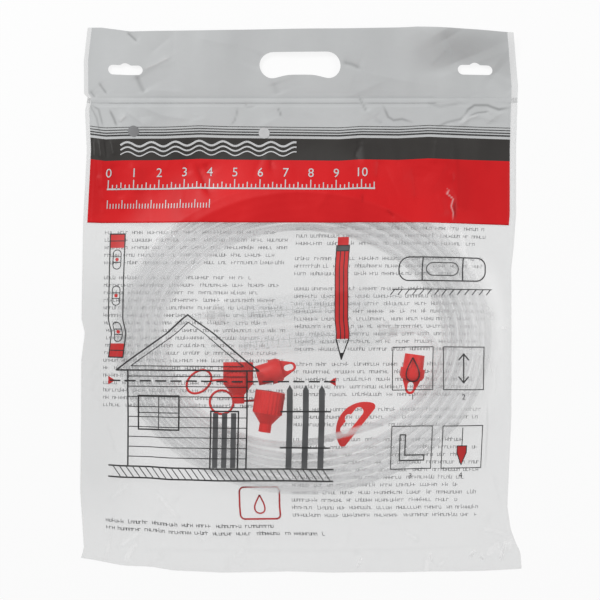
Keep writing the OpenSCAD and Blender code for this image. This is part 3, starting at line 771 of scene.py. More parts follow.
# Bag: printed film, welded round the rim, with a double header above the fold
bag = {
    "half": 203.0, "bottom": -256.0, "fold": 190.0, "top": 256.0, "lip": 185.2, "headerCell": 1.0,
    "sideWeld": 8.0, "bottomWeld": 28.0, "topWeld": 8.0, "weldZ": 0.95, "freeLift": 0.4, "spare": 0.6,
    "sag": 0.006, "rounds": 1500, "dent": 0.25, "frontLowest": 0.85, "headerLowest": 0.5,
    "thick": 0.2, "backZ": 0.3, "backCell": 6.0, "headerZ": 1.35, "headerCurl": 15.0, "cutDepth": 5.0,
    "bendStart": (0, 187, 1), "bendEnd": (0, 195, 1),
    "printEdges": (-199.0, 197.0), "bands": (72.4, 131.6, 152.0, 185.2),
    "acrossMarks": (-140.0, 70.0), "acrossCells": (1.0, 1.0, 1.95, 1.0, 1.0),
    "clearMarks": (-256.0, -228.0, 30.0, 72.4), "clearCells": (1.7, 2.7, 2.0),
    "bandCells": (1.6, 1.2, 0.9, 0.9),
    # the slack outline, and how far the bands waver and drop
    "leftEdge": [
        (-242.5, -207.7), (-233, -205), (-179.5, -208.5), (-110, -207.7), (-56, -207.5), (-31, -204),
        (-18, -207.3), (73, -205.8), (141, -202.3), (178, -204), (190, -201.4), (194, -204.8),
        (225, -204.9), (256, -201.2),
    ],
    "rightEdge": [
        (-252, 206.2), (-237.4, 205.5), (-228, 200.8), (-215, 196), (-194, 193), (-108, 196.8),
        (-5, 196.8), (29.5, 196.6), (50, 199), (71, 200.4), (80, 201.2), (141, 201.2), (190, 202.5),
        (201, 203), (251, 198.3),
    ],
    "topEdge": [
        (-203, 255.7), (-190, 255.7), (-162, 252), (-96, 253), (-38, 253.8), (111, 255.7), (198, 251),
    ],
    "bottomEdge": [
        (-203, -242.6), (-188.7, -244.5), (-164.5, -249.4), (-137, -250.7), (-117.5, -254.3),
        (-73.7, -256.3), (-9, -255), (26, -256), (90, -255.8), (131, -255.3), (165, -254.6),
        (203, -252.2),
    ],
    "waver": [
        (-203, 0.9), (-199, 0.8), (-185, -1.0), (-166, -0.4), (-129, -0.3), (-96, 1.0), (-68, 0.2),
        (-2, -0.5), (36, -0.9), (56, 0.4), (92, 0.0), (120, 1.4), (158, 0.0), (196, -1.2), (203, -1.3),
    ],
    "hemPower": 4, "waverShare": [(72, 0.25), (125, 1), (166, 1), (186, 0)],
    "cornerDrop": [(110, 0), (150, -0.7), (203, -2.1)], "dropShare": [(0, 0), (60, 1), (84, 1), (131, 0)],
}
# Creases in the film: points along each, height, width, and how strong a painted highlight lies along it
# (or, below zero, how dark a painted shade)
creases = [
    # header
    ([(-164, 251), (-154, 242)], -1.1, 1.2, -0.5), ([(-156, 211), (-148, 194)], -1.8, 2.8, -0.3),
    ([(-191, 204), (-183, 193)], -0.9, 1.2, -0.45), ([(-199, 196), (-194, 190)], -0.8, 1.2, -0.35),
    ([(-150, 216), (-138, 221), (-122, 229)], 0.9, 1.8, 0.3),
    ([(38, 223), (47, 221), (56, 217)], -1.4, 2.0, -0.35), ([(-27, 204), (-23, 192)], -0.9, 4.0, -0.1),
    ([(131, 251), (141, 233), (148, 216)], -3.4, 11, 0), ([(176, 214), (197, 196)], -2.4, 7, -0.06),
    ([(-100, 246), (-60, 238)], 0.8, 9, 0), ([(60, 213), (110, 203)], 0.9, 8, 0),
    # fold and grey band
    ([(-203, 190), (203, 190)], -1.0, 0.9, -0.2),
    ([(-199, 184), (-191, 179), (-187, 163)], -1.2, 1.1, -0.4),
    ([(-201, 187), (-193, 171), (-189, 152)], -1.1, 1.0, -0.35),
    ([(-181, 179), (-177, 171), (-174, 163)], -1.6, 1.5, -0.5),
    ([(-172, 167), (-165, 174)], 1.2, 1.4, 0.35),
    ([(-154, 183), (-130, 173), (-103, 169)], 1.0, 4.0, 0.05),
    ([(-166, 178), (-150, 166), (-146, 160)], 0.9, 2.6, 0.12),
    ([(-60, 181), (-63, 169), (-67, 164)], -1.1, 1.2, -0.3),
    ([(-53, 186), (-52, 181), (-44, 182)], -0.8, 1.0, -0.2), ([(-23, 181), (-19, 172)], -1.2, 1.2, -0.4),
    ([(53, 192), (57, 184), (61, 176)], -1.2, 1.4, -0.3),
    ([(76, 183), (81, 172), (86, 169), (94, 170), (104, 167)], -1.7, 1.5, -0.45),
    ([(68, 170), (76, 166)], -0.8, 2.4, -0.12), ([(118, 185), (130, 182), (150, 185)], -1.1, 2.2, -0.2),
    ([(152, 172), (156, 179), (162, 183), (174, 183), (185, 179), (196, 181)], -2.2, 1.6, -0.55),
    ([(157, 173), (165, 176), (176, 177)], -1.3, 1.2, -0.45),
    ([(126, 162), (136, 167), (149, 170), (154, 175)], -1.5, 1.7, -0.3),
    ([(148, 164), (158, 171), (167, 174)], 1.3, 2.0, 0.25),
    ([(172, 165), (183, 173), (191, 177)], 1.2, 3.2, 0.12),
    # black and red bands
    ([(50, 151), (53, 145), (49, 137), (52, 131)], -1.2, 1.2, -0.3),
    ([(57, 152), (59, 124)], 1.1, 4.0, 0.03), ([(92, 152), (89, 126)], -1.3, 4.0, -0.05),
    ([(127, 152), (124, 128)], 1.3, 5.0, 0.03),
    ([(144, 152), (146, 132), (148, 103), (144, 73)], -1.8, 3.6, -0.14),
    ([(177, 152), (174, 118)], -1.3, 4.5, -0.05),
    ([(134, 107), (138, 103), (136, 100), (142, 95), (140, 88), (142, 82), (141, 73)], 1.3, 1.1, 0.52),
    # a painted shadow beside the pale crease on the red band
    ([(144, 93), (143, 86), (144, 77)], 0, 1.7, -0.5), ([(128, 101), (134, 79)], 0.9, 3.6, 0.06),
    ([(139, 121), (142, 111)], 0.8, 2.6, 0.08), ([(-197, 150), (-195, 75)], -1.4, 3.2, -0.1),
    ([(-190, 150), (-186, 80)], 1.4, 3.4, 0.02), ([(-179, 128), (-173, 94)], -1.4, 3.0, -0.1),
    ([(-160, 130), (-156, 100)], 1.1, 3.6, 0.02), ([(-112, 130), (-108, 117)], -1.6, 1.6, -0.2),
    ([(-100, 128), (-92, 110), (-86, 97)], -1.8, 2.0, -0.22),
    ([(-92, 128), (-85, 117)], -1.4, 1.8, -0.18), ([(-30, 132), (-29, 120)], -1.0, 1.3, -0.3),
    ([(72, 132), (70, 112)], -1.0, 3.4, -0.06), ([(57, 99), (56, 91)], -0.9, 1.5, -0.2),
    ([(79, 85), (86, 78)], -0.9, 1.5, -0.2), ([(104, 125), (108, 90)], -1.1, 4.5, -0.05),
    # painted glints and folds beside the coil, and a broad painted highlight over the coil's right side
    ([(134, 72), (137, 68), (141, 62)], 1.3, 1.5, 0.95), ([(149, 64), (153, 47)], 1.1, 1.3, 0.7),
    ([(154, 41), (159, 33)], 1.2, 1.5, 0.85), ([(162, 26), (168, 14)], 1.2, 1.4, 0.8),
    ([(171, -4), (178, -17)], 1.4, 1.7, 0.95), ([(183, -28), (194, -26)], 1.0, 1.4, 0.6),
    ([(135, 71), (141, 62)], 0, 2.6, 0.9), ([(148, 49), (153, 38)], 0, 2.8, 1.0),
    ([(155, 34), (161, 27)], 0, 2.8, 1.0), ([(165, 24), (169, 19)], 0, 2.8, 0.9),
    ([(171, -5), (180, -17)], 0, 2.8, 1.0), ([(120, 28), (126, 19)], 0.9, 1.4, 0.45),
    ([(154, 14), (162, -14), (164, -42)], 0.5, 1.6, 0.3),
    ([(165, 9), (170, -19), (170, -47)], 0.5, 1.6, 0.35),
    ([(140, 22), (151, -4), (154, -34)], 0.4, 1.5, 0.2),
    ([(153, 3), (159, -11), (164, -24), (165, -40), (164, -58), (161, -82), (146, -100)], 0.4, 1.5, 0.45),
    ([(156, -25), (157, -40), (156, -64)], 0.4, 1.4, 0.4),
    ([(160, 46), (172, -20), (168, -80), (146, -122)], 0, 34, 0.2),
    ([(141, -46), (158, -47), (170, -52), (177, -57), (179, -75)], 1.0, 2.0, 0.5),
    ([(174, -94), (174, -122), (172, -160)], -0.5, 1.1, -0.25),
    ([(183, -47), (181, -94)], 0.8, 2.0, 0.25),
    # lower pouch and bottom weld, with painted glints on the weld's crinkles
    ([(-138, -179), (-115, -207)], 0.9, 3.0, 0.18), ([(-181, -188), (-160, -170)], 0.8, 3.2, 0.12),
    ([(-172, -232), (-150, -216)], 0.8, 3.4, 0.16), ([(-96, -226), (-80, -214)], 0.8, 3.2, 0.2),
    ([(52, -251), (56, -242)], 0.9, 1.2, 0.9), ([(120, -237), (122, -247)], 0.9, 1.3, 0.8),
    ([(158, -241), (163, -235)], 1.1, 1.5, 1.0), ([(167, -239), (171, -244)], 1.1, 1.5, 1.0),
    ([(192, -226), (186, -244)], 1.2, 1.8, 0.9), ([(168, -214), (195, -220)], 0.9, 3.0, 0.15),
    ([(96, -218), (110, -226)], 0.7, 3.0, 0.16), ([(34, -160), (70, -150), (92, -142)], 0.6, 4.0, 0.08),
    # broad painted shade, the weld line and folds at the ends of the bands
    ([(-196, -215), (-190, -60), (-182, 50)], 0, 56, -0.17), ([(-90, 0), (70, -70)], 0, 90, -0.11),
    ([(-198, -234), (-60, -236), (80, -235), (198, -230)], -0.5, 2.4, -0.04),
    ([(178, 250), (196, 205)], 0, 18, -0.07), ([(-196, 151), (-195, 133)], 0.8, 1.1, 0.2),
    ([(-191, 151), (-189, 132)], 0.9, 1.1, 0.18), ([(-186, 151), (-184, 133)], -0.9, 1.2, -0.4),
    ([(-180, 151), (-177, 135)], 0.8, 1.2, 0.17), ([(-192, 131), (-194, 74)], 0, 12, -0.1),
    ([(-150, 131), (-153, 74)], 0, 10, -0.1), ([(-120, 118), (-118, 74)], 0, 13, -0.08),
    ([(150, 131), (152, 74)], 0, 11, -0.1), ([(192, 131), (192, 74)], 0, 9, -0.06),
]


# Places along marks, with a cell of its own for each stretch between two marks
def stations(marks, cells):
    places = [marks[0]]
    for start, end, cell in zip(marks, marks[1:], cells):
        steps = max(1, math.ceil((end - start) / cell))
        places += [start + (end - start) * (i + 1) / steps for i in range(steps)]
    return np.array(places)


def alongEdge(edge, at):
    return np.interp(at, [p[0] for p in edge], [p[1] for p in edge])


# From the flat film to where it lies: the rim follows the bag's slack outline
def bagPlace(u, v):
    lowShare = np.maximum(bag["fold"] - v, 0) / (bag["fold"] - bag["bottom"])
    highShare = (v - bag["fold"]) / (bag["top"] - bag["fold"])
    low = v + lowShare ** bag["hemPower"] * (alongEdge(bag["bottomEdge"], u) - bag["bottom"])
    high = bag["fold"] + highShare * (alongEdge(bag["topEdge"], u) - bag["fold"])
    y = np.where(v < bag["fold"], low, high)
    for edge, share in (("waver", "waverShare"), ("cornerDrop", "dropShare")):
        y = y + alongEdge(bag[edge], u) * alongEdge(bag[share], v)
    left, right = alongEdge(bag["leftEdge"], y), alongEdge(bag["rightEdge"], y)
    return left + (u + bag["half"]) / (2 * bag["half"]) * (right - left), y


# Distance from a line between two points, how far along that line, and on which side of it
def nearLine(x, y, start, end):
    way = (end[0] - start[0], end[1] - start[1])
    long = way[0] ** 2 + way[1] ** 2 + 1e-9
    share = np.clip(((x - start[0]) * way[0] + (y - start[1]) * way[1]) / long, 0, 1)
    side = way[0] * (y - start[1]) - way[1] * (x - start[0])
    return np.hypot(x - start[0] - share * way[0], y - start[1] - share * way[1]), share, side


def hoseTop(x, y, top):
    line = hoseLine()
    r = hose["diameter"] / 2
    for start, end in zip(line, line[1:]):
        lowX, highX = min(start.x, end.x) - r, max(start.x, end.x) + r
        lowY, highY = min(start.y, end.y) - r, max(start.y, end.y) + r
        near = (x > lowX) & (x < highX) & (y > lowY) & (y < highY)
        if near.any():
            away, share, _ = nearLine(x[near], y[near], start, end)
            height = start.z + share * (end.z - start.z) + np.sqrt(np.clip(r * r - away * away, 0, None))
            top[near] = np.maximum(top[near], np.where(away < r, height, 0))


def roundTop(x, y, top, place, profile, shift=(0, 0)):
    turn = math.radians(place["turn"])
    dx, dy = x - place["at"][0] - shift[0], y - place["at"][1] - shift[1]
    along, aside = dx * math.cos(turn) + dy * math.sin(turn), dy * math.cos(turn) - dx * math.sin(turn)
    radius = np.interp(along, [p[0] for p in profile], [p[1] for p in profile], 0, 0)
    height = place["z"] + np.sqrt(np.clip(radius ** 2 - aside ** 2, 0, None))
    top[:] = np.maximum(top, np.where(np.abs(aside) < radius, height, 0))


# Room under the film: outlines with a little to spare, and the moves that the joints allow
room = {
    "flask": [(-8, 9.9), (-1, 14.3), (flask["body"] + 1, 14.3), (flask["body"] + 7, 11),
              (flask["body"] + flask["shoulder"] + flask["neck"] + 1.5, 11)],
    "cap": [(0, 14), (cap["skirt"], 14), (cap["skirt"] + cap["cone"], 5.8), (38.5, 5.8)],
    "stopper": [(0, 9.8), (12.9, 9.8), (13, 11.6), (23.5, 11.6), (24, 2.3), (37.5, 2.3)],
    "swingAt": (-84.947, -14.22), "swings": (0, 2, 4),
    "capMoves": {1: [(0, 0), (0, -2)], 2: [(0, 0), (2.5, 0), (5, 0)]},
    "stopperMoves": {1: [(slide, 0) for slide in range(0, 31, 3)],
                     2: [(-slide, 0) for slide in range(0, 16, 3)]},
}


# Highest point of what lies under the film, wherever the loose pieces may move
def contentsTop(x, y):
    top = np.zeros_like(x)
    hoseTop(x, y, top)
    roundTop(x, y, top, flaskPlaces[2], room["flask"])
    swingAt, lying = Vector(room["swingAt"]), flaskPlaces[1]
    for swing in room["swings"]:
        swung = Matrix.Rotation(math.radians(swing), 2) @ (Vector(lying["at"]) - swingAt) + swingAt
        place = {"at": tuple(swung), "turn": lying["turn"] + swing, "z": lying["z"]}
        roundTop(x, y, top, place, room["flask"])
    for number in (1, 2):
        for move in room["capMoves"][number]:
            roundTop(x, y, top, capPlaces[number], room["cap"], move)
        for move in room["stopperMoves"][number]:
            roundTop(x, y, top, stopperPlaces[number], room["stopper"], move)
    return top


# Rests the film on what it covers: it hangs free in between and is held at the welds
def drape(top, held):
    free = np.maximum(top + bag["spare"], bag["weldZ"] + bag["freeLift"])
    height = np.where(held, bag["weldZ"], free)
    least = height.copy()
    inner = (slice(1, -1), slice(1, -1))
    for _ in range(bag["rounds"]):
        around = height[:-2, 1:-1] + height[2:, 1:-1] + height[1:-1, :-2] + height[1:-1, 2:]
        hung = np.maximum(least[inner], around / 4 - bag["sag"])
        height[inner] = np.where(held[inner], bag["weldZ"], hung)
    return height, least


# Areas of small crinkles: how many, where, longest, highest, lean (None for any way) and strongest painted
# highlight
crinkled = [
    (16, (-198, -252, 198, -226), 24, 0.8, 75, 0.25),
    (9, (-190, -226, 190, -186), 60, 0.7, 60, 0.06),
    (26, (-196, 76, 194, 132), 44, 0.7, 85, 0.03),
    (36, (-196, 154, 194, 186), 20, 0.7, None, 0.12),
    (8, (-203, -180, -168, 66), 44, 0.7, 95, 0.08),
    (8, (168, -180, 198, 66), 40, 0.7, 85, 0.12),
    (14, (-150, -160, 150, 60), 60, 0.5, None, 0.05),
    (12, (-196, 196, 194, 250), 50, 0.6, None, 0.03),
]
crinkle = {"seed": 7, "leanSpread": 22, "least": 0.25, "widths": (1.8, 4.5)}


def crinkles(rng, count, area, longest, highest, lean, strongestHighlight):
    c, made = crinkle, []
    for _ in range(count):
        x, y = rng.uniform(area[0], area[2]), rng.uniform(area[1], area[3])
        turn = rng.uniform(0, math.pi) if lean is None else math.radians(rng.gauss(lean, c["leanSpread"]))
        reach = rng.uniform(c["least"], 1) * longest / 2
        height = rng.choice((-1, 1)) * rng.uniform(c["least"], 1) * highest
        width, paintedLight = rng.uniform(*c["widths"]), rng.uniform(0, strongestHighlight)
        dx, dy = reach * math.cos(turn), reach * math.sin(turn)
        made.append(([(x - dx, y - dy), (x + dx, y + dy)], height, width, paintedLight))
    return made


# Distance from a path of several points, how far along it, and on which side of it
def nearPath(x, y, points):
    nearest, along, side, run = np.full_like(x, 1e9), np.zeros_like(x), np.zeros_like(x), 0.0
    for start, end in zip(points, points[1:]):
        away, share, beside = nearLine(x, y, start, end)
        reach = math.dist(start, end)
        along = np.where(away < nearest, run + share * reach, along)
        side = np.where(away < nearest, beside, side)
        nearest = np.minimum(nearest, away)
        run += reach
    return nearest, along / run, side


fold = {"lean": 2.6, "reach": 4, "taper": 5, "endShare": 0.15, "toneFall": 1.4}


# Presses creases into the film, each falling off steeply on one side and slowly on the other, and lays
# painted highlight or painted shade along each
def foldFilm(x, y, height, lines):
    pale, dark = np.zeros_like(x), np.zeros_like(x)
    for points, rise, width, paintedLight in lines:
        pad = fold["reach"] * width * fold["lean"]
        xs, ys = zip(*points)
        near = (x > min(xs) - pad) & (x < max(xs) + pad) & (y > min(ys) - pad) & (y < max(ys) + pad)
        away, share, side = nearPath(x[near], y[near], points)
        fromEnd = np.clip(np.minimum(share, 1 - share) * fold["taper"], 0, 1)
        taper = fromEnd * (1 - fold["endShare"]) + fold["endShare"]
        height[near] += rise * taper * np.exp(-away / np.where(side > 0, width * fold["lean"], width))
        # a value above zero lays a painted highlight, one below zero painted shade
        mark = pale if paintedLight > 0 else dark
        fade = np.exp(-(away / width * fold["toneFall"]) ** 2)
        mark[near] = np.maximum(mark[near], abs(paintedLight) * taper * fade)
    return pale, dark


# Keeps the painted highlight and painted shade at each point on its mesh
def markFilm(mesh, pale, dark):
    for name, marks in (("pale", pale), ("dark", dark)):
        layer = mesh.verts.layers.float.new(name)
        for vert, mark in zip(mesh.verts, marks.ravel()):
            vert[layer] = mark


def setPlaces(mesh, x, y, z):
    for vert, a, b, c in zip(mesh.verts, x.ravel(), y.ravel(), z.ravel()):
        vert.co = (a, b, c)


def sheetGrid(x, y, z):
    mesh = bmesh.new()
    rows, columns = x.shape
    bmesh.ops.create_grid(mesh, x_segments=columns - 1, y_segments=rows - 1, size=1)
    setPlaces(mesh, x, y, z)
    return mesh


rng = random.Random(crinkle["seed"])
for area in crinkled:
    creases += crinkles(rng, *area)

leftPrint, rightPrint = bag["printEdges"]
frontU = stations([-bag["half"], leftPrint, *bag["acrossMarks"], rightPrint, bag["half"]],
                  bag["acrossCells"])
clearV = stations(bag["clearMarks"], bag["clearCells"])
frontV = np.concatenate([clearV, stations([*bag["bands"], bag["fold"]], bag["bandCells"])[1:]])
flatU, flatV = np.meshgrid(frontU, frontV)
frontX, frontY = bagPlace(flatU, flatV)
heldDown = ((np.abs(flatU) > bag["half"] - bag["sideWeld"]) | (flatV < bag["bottom"] + bag["bottomWeld"])
            | (flatV > bag["fold"] - bag["topWeld"]))
frontZ, leastZ = drape(contentsTop(frontX, frontY), heldDown)
# painted highlights and painted shade along the front film's creases
frontHighlights, frontShade = foldFilm(frontX, frontY, frontZ, creases)
frontZ = np.maximum(frontZ, np.maximum(leastZ - bag["dent"], bag["frontLowest"]))
print("film draped, highest point", round(float(frontZ.max()), 2), "mm")


# Where a print lands on the front film
def onFront(mesh, lift):
    flat = np.array([vert.co.xy for vert in mesh.verts])
    column = np.interp(flat[:, 0], frontU, np.arange(len(frontU)))
    row = np.interp(flat[:, 1], frontV, np.arange(len(frontV)))
    c, r = np.minimum(column.astype(int), len(frontU) - 2), np.minimum(row.astype(int), len(frontV) - 2)
    fc, fr = column - c, row - r
    shares = ((0, 0, (1 - fc) * (1 - fr)), (0, 1, fc * (1 - fr)), (1, 0, (1 - fc) * fr), (1, 1, fc * fr))
    x, y, z = [sum(a[r + down, c + over] * share for down, over, share in shares)
               for a in (frontX, frontY, frontZ)]
    setPlaces(mesh, x, y, z + lift)


def onBack(mesh, lift):
    flat = np.array([vert.co.xy for vert in mesh.verts])
    x, y = bagPlace(flat[:, 0], flat[:, 1])
    setPlaces(mesh, x, y, np.full_like(x, bag["backZ"] + lift))


# The front film in two pieces, the clear pouch and the printed band above it, joined along one row
def addFront():
    seam = len(clearV) - 1
    inks = ["film", "greyPrint", "blackPrint", "redPrint"]
    made = (("frontFilm", slice(0, seam + 1), "film", "film", ["bag_front_film"], "draped"),
            ("frontBand", slice(seam, None), inks, "header_print", (), "stretched"))
    for name, rows, finish, slot, replaced, held in made:
        mesh = sheetGrid(frontX[rows], frontY[rows], frontZ[rows])
        markFilm(mesh, frontHighlights[rows], frontShade[rows])
        if finish is inks:
            inkBand(mesh, frontV[rows], inks)
        piece = addPiece(name, mesh, finish, "bag", replaced, allSmooth)
        addThickness(piece, bag["thick"])


def inkBand(mesh, rows, inks):
    blackFrom, greyFrom = bag["bands"][1:3]
    levels, places = (rows[:-1] + rows[1:]) / 2, (frontU[:-1] + frontU[1:]) / 2
    mesh.faces.ensure_lookup_table()
    for index, face in enumerate(mesh.faces):
        v, u = levels[index // len(places)], places[index % len(places)]
        if leftPrint < u < rightPrint:
            ink = "redPrint" if v < blackFrom else "blackPrint" if v < greyFrom else "greyPrint"
            face.material_index = inks.index(ink)


def addBack():
    us = stations([-bag["half"], bag["half"]], [bag["backCell"]])
    vs = stations([bag["bottom"], bag["fold"]], [bag["backCell"]])
    x, y = bagPlace(*np.meshgrid(us, vs))
    mesh = sheetGrid(x, y, np.full_like(x, bag["backZ"]))
    piece = addPiece("backFilm", mesh, "backFilm", "bag", ["bag_back_film"], allSmooth)
    addThickness(piece, bag["thick"])


# Header holes: a kidney-shaped hand hole and two slots with a hook notch
headerHoles = {
    "hand": (0.0, 221.2, 76.0, 25.6), "handDip": 3.8, "dipHalf": 21, "handPoints": 72,
    "slots": (-164.0, 164.0), "slotY": 217.3, "slot": (32.4, 9.4), "slotPoints": 56,
    "notch": 2.3, "notchHalf": 5.0,
}


def holeOutlines():
    h = headerHoles
    x, y, wide, tall = h["hand"]
    hand = []
    for px, py in slotOutline(wide, tall, h["handPoints"]):
        dip = h["handDip"] * math.exp(-(px / h["dipHalf"]) ** 4) if py < 0 else 0
        hand.append((x + px, y + py + dip))
    outlines = [hand]
    for side in h["slots"]:
        slot = []
        for px, py in slotOutline(*h["slot"], h["slotPoints"]):
            bump = math.cos(min(1.0, abs(px) / h["notchHalf"]) * math.pi / 2) * h["notch"] if py > 0 else 0
            slot.append((side + px, h["slotY"] + py + bump))
        outlines.append(slot)
    return outlines


# Slack of the free header: waves as (height, length across, length up, turn), the rest as (start, reach)
headerSlack = {
    "level": 1.5, "free": (4, 60),
    "waves": [(1.1, 47, math.inf, 0.8), (0.9, 19, 31, 0), (0.5, 11, -23, 0)],
    "droop": 3.5, "droopOver": (-205, 36), "curlUp": (212, 42), "curlIn": (84, 50),
    "curlOut": (160, 44), "curlEnd": 0.85,
}


def easeOver(at, startReach):
    start, reach = startReach
    return smoothStep((at - start) / reach)


# How the free header stands off the surface: slack waves, a drooping left end and a curled right corner
def headerRise(x, y):
    h = headerSlack
    start, reach = h["free"]
    up = np.clip((y - bag["fold"] - start) / reach, 0, 1)
    waves = h["level"]
    for height, across, upward, turn in h["waves"]:
        waves = waves + height * np.sin(x / across + y / upward + turn)
    droop = h["droop"] * easeOver(x, h["droopOver"])
    curlEnd = 1 - h["curlEnd"] * easeOver(x, h["curlOut"])
    curl = easeOver(y, h["curlUp"]) * easeOver(x, h["curlIn"]) * curlEnd
    return up * (waves + droop) + bag["headerCurl"] * curl


# The flat header with its holes cut through
def cutHeader():
    us = stations([-bag["half"], leftPrint, rightPrint, bag["half"]], [bag["headerCell"]] * 3)
    vs = stations([bag["lip"], bag["fold"], bag["top"]], [bag["headerCell"]] * 2)
    u, v = np.meshgrid(us, vs)
    flat = makeObject("header", sheetGrid(u, v, np.zeros_like(u)))
    cutter = bmesh.new()
    for outline in holeOutlines():
        corners = [cutter.verts.new((px, py, -bag["cutDepth"])) for px, py in outline]
        raiseFaces(cutter, [cutter.faces.new(corners)], 2 * bag["cutDepth"])
    bmesh.ops.recalc_face_normals(cutter, faces=cutter.faces)
    holes = makeObject("holes", cutter)
    double = flat.modifiers.new("double", "SOLIDIFY")
    double.thickness = 2 * bag["thick"]
    double.offset = 0
    cut = flat.modifiers.new("cut", "BOOLEAN")
    cut.object = holes
    cut.operation = "DIFFERENCE"
    cut.solver = "EXACT"
    baked = evaluatedMesh(flat)
    mesh = bmesh.new()
    mesh.from_mesh(baked)
    used = [baked, flat.data, holes.data]
    for helper in (flat, holes):
        bpy.data.objects.remove(helper)
    for data in used:
        bpy.data.meshes.remove(data)
    return mesh


def addHeader():
    mesh = cutHeader()
    for face in mesh.faces:
        face.material_index = 0 if leftPrint < face.calc_center_median().x < rightPrint else 1
    flat = np.array([vert.co for vert in mesh.verts])
    x, y = bagPlace(flat[:, 0], flat[:, 1])
    z = bag["headerZ"] + headerRise(x, y)
    # the header's creases, with their painted highlights and painted shade
    marks = foldFilm(x, y, z, creases)
    setPlaces(mesh, x, y, np.maximum(z, bag["headerLowest"]) + flat[:, 2])
    markFilm(mesh, *marks)
    piece = addPiece("header", mesh, ["greyPrint", "headerFilm"], None, ["bag_header"], 60)
    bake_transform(piece)


addFront()
addBack()
addHeader()
print("bag made")

# Prints: each ink is one thin mesh, drawn flat and then laid on its film
inkLine = {"bold": 1.45, "middle": 1.16, "fine": 0.85}
strokeSplit, strokeOverlap = 3, 0.35  # longer strokes are divided, and overlap by a share of their width


def quad(mesh, start, end, width):
    start, end = Vector((*start, 0)), Vector((*end, 0))
    side = (end - start).cross(upright).normalized() * width / 2
    mesh.faces.new([mesh.verts.new(p) for p in (start + side, end + side, end - side, start - side)][::-1])


def stroke(mesh, points, width, closed=False):
    route = [Vector(point) for point in points]
    if closed:
        route.append(route[0])
    for start, end in zip(route, route[1:]):
        reach = (end - start).length
        if reach < strokeSplit:
            quad(mesh, start, end, width)
        else:
            more = (end - start) * width * strokeOverlap / reach
            addBar(mesh, start - more, end + more, width)


def boxStroke(mesh, x0, y0, x1, y1, width):
    stroke(mesh, [(x0, y0), (x1, y0), (x1, y1), (x0, y1)], width, True)


def filled(mesh, points):
    mesh.faces.new([mesh.verts.new((x, y, 0)) for x, y in points])


def roundBox(x0, y0, x1, y1, r):
    corners = [(x1 - r, y1 - r, 0), (x0 + r, y1 - r, 90), (x0 + r, y0 + r, 180), (x1 - r, y0 + r, 270)]
    return [point for x, y, a in corners for point in arc(x, y, r, a, a + 90, 5)]


def dropOutline(x, y, r):
    return [(x + r * math.sin(a) * math.sin(a / 2) ** 1.5, y + r * 1.25 * math.cos(a))
            for a in np.linspace(0, math.tau, 24, endpoint=False)]


def disc(mesh, x, y, r):
    bmesh.ops.create_circle(mesh, cap_ends=True, cap_tris=True, segments=28, radius=r,
                            matrix=Matrix.Translation((x, y, 0)))


# Small print: sizes, then the shares of skipped rows, tall letters and letters with a second stem
smallPrint = {
    "pitch": 2.8, "wide": 1.9, "high": 2.9, "line": 0.56, "rowPitch": 7.1, "barLine": 0.9,
    "skipped": 0.13, "tallShare": 0.12, "tall": 1.35, "secondStem": 0.6, "bars": (0.25, 1.3, 2.4),
    "wordLetters": (2, 10), "letterSteps": (0.85, 1.1), "wordGaps": (1.0, 1.8), "seed": 21,
}


# Rows of short ticks, as far as a page of small print can be told apart from here
def tickRows(mesh, rng, left, right, top, rows, ragged):
    s = smallPrint
    for row in range(rows):
        y = top - row * s["rowPitch"]
        if rng.random() < s["skipped"]:
            continue
        x, end = left, right - rng.random() ** 3 * (right - left) * ragged
        while x < end:
            for _ in range(rng.randint(*s["wordLetters"])):
                if x > end:
                    break
                far = x + s["wide"]
                high = s["high"] * (s["tall"] if rng.random() < s["tallShare"] else 1)
                quad(mesh, (x, y), (x, y + high), s["line"])
                if rng.random() < s["secondStem"]:
                    quad(mesh, (far, y), (far, y + s["high"]), s["line"])
                level = y + rng.choice(s["bars"])
                quad(mesh, (x, level), (far, level), s["line"] * s["barLine"])
                x += s["pitch"] * rng.uniform(*s["letterSteps"])
            x += s["pitch"] * rng.uniform(*s["wordGaps"])


# Bands: fine rules, three waves, a numbered scale, a finer scale and two round marks
bandArt = {
    "rules": [(162.7, 0.5), (160.2, 0.75), (157.7, 1.0), (155.2, 1.35)],
    "waves": [(146.6, 1.9), (142.0, 1.5), (137.6, 1.1)],
    "waveHigh": 2.1, "waveLong": 3.6, "waveFrom": -170, "waveEnds": (-171, -3, 1.6),
    "scaleY": 104.5, "scaleEnds": (-182, 70), "scaleLine": 1.5, "marksFrom": -181,
    "marks": 64, "markStep": 3.97, "markTall": (8.6, 6.2, 4.2), "markLine": 1.0,
    "numberY": 119.4, "numberTall": 8.4,
    "fineY": 86, "fineMarks": 36, "fineStep": 2.75, "fineTall": (8, 4.6), "fineLine": 0.85,
    "discs": [("middle", -158, 159), ("pale", -35, 157)], "discRadius": 5.2,
}


def drawBands(inks):
    b, pale = bandArt, inks["pale"]
    for level, width in b["rules"]:
        addBar(inks["black"], (leftPrint, level), (rightPrint, level), width)
    for level, width in b["waves"]:
        xs = np.arange(*b["waveEnds"])
        ys = level + b["waveHigh"] * np.sin((xs - b["waveFrom"]) / b["waveLong"])
        stroke(pale, list(zip(xs, ys)), width)
    low = b["scaleY"]
    addBar(pale, (b["scaleEnds"][0], low), (b["scaleEnds"][1], low), b["scaleLine"])
    for i in range(b["marks"]):
        x = b["marksFrom"] + b["markStep"] * i
        tall = b["markTall"][0 if i % 6 == 0 else 1 if i % 3 == 0 else 2]
        addBar(pale, (x, low), (x, low + tall), b["markLine"])
        if i % 6 == 0:
            addNumber(pale, str(i // 6), (x, b["numberY"]), b["numberTall"])
    for i in range(b["fineMarks"]):
        x = b["marksFrom"] + b["fineStep"] * i
        tall = b["fineTall"][0 if i % 5 == 0 else 1]
        addBar(pale, (x, b["fineY"]), (x, b["fineY"] + tall), b["fineLine"])
    for ink, x, y in b["discs"]:
        disc(inks[ink], x, y, b["discRadius"])


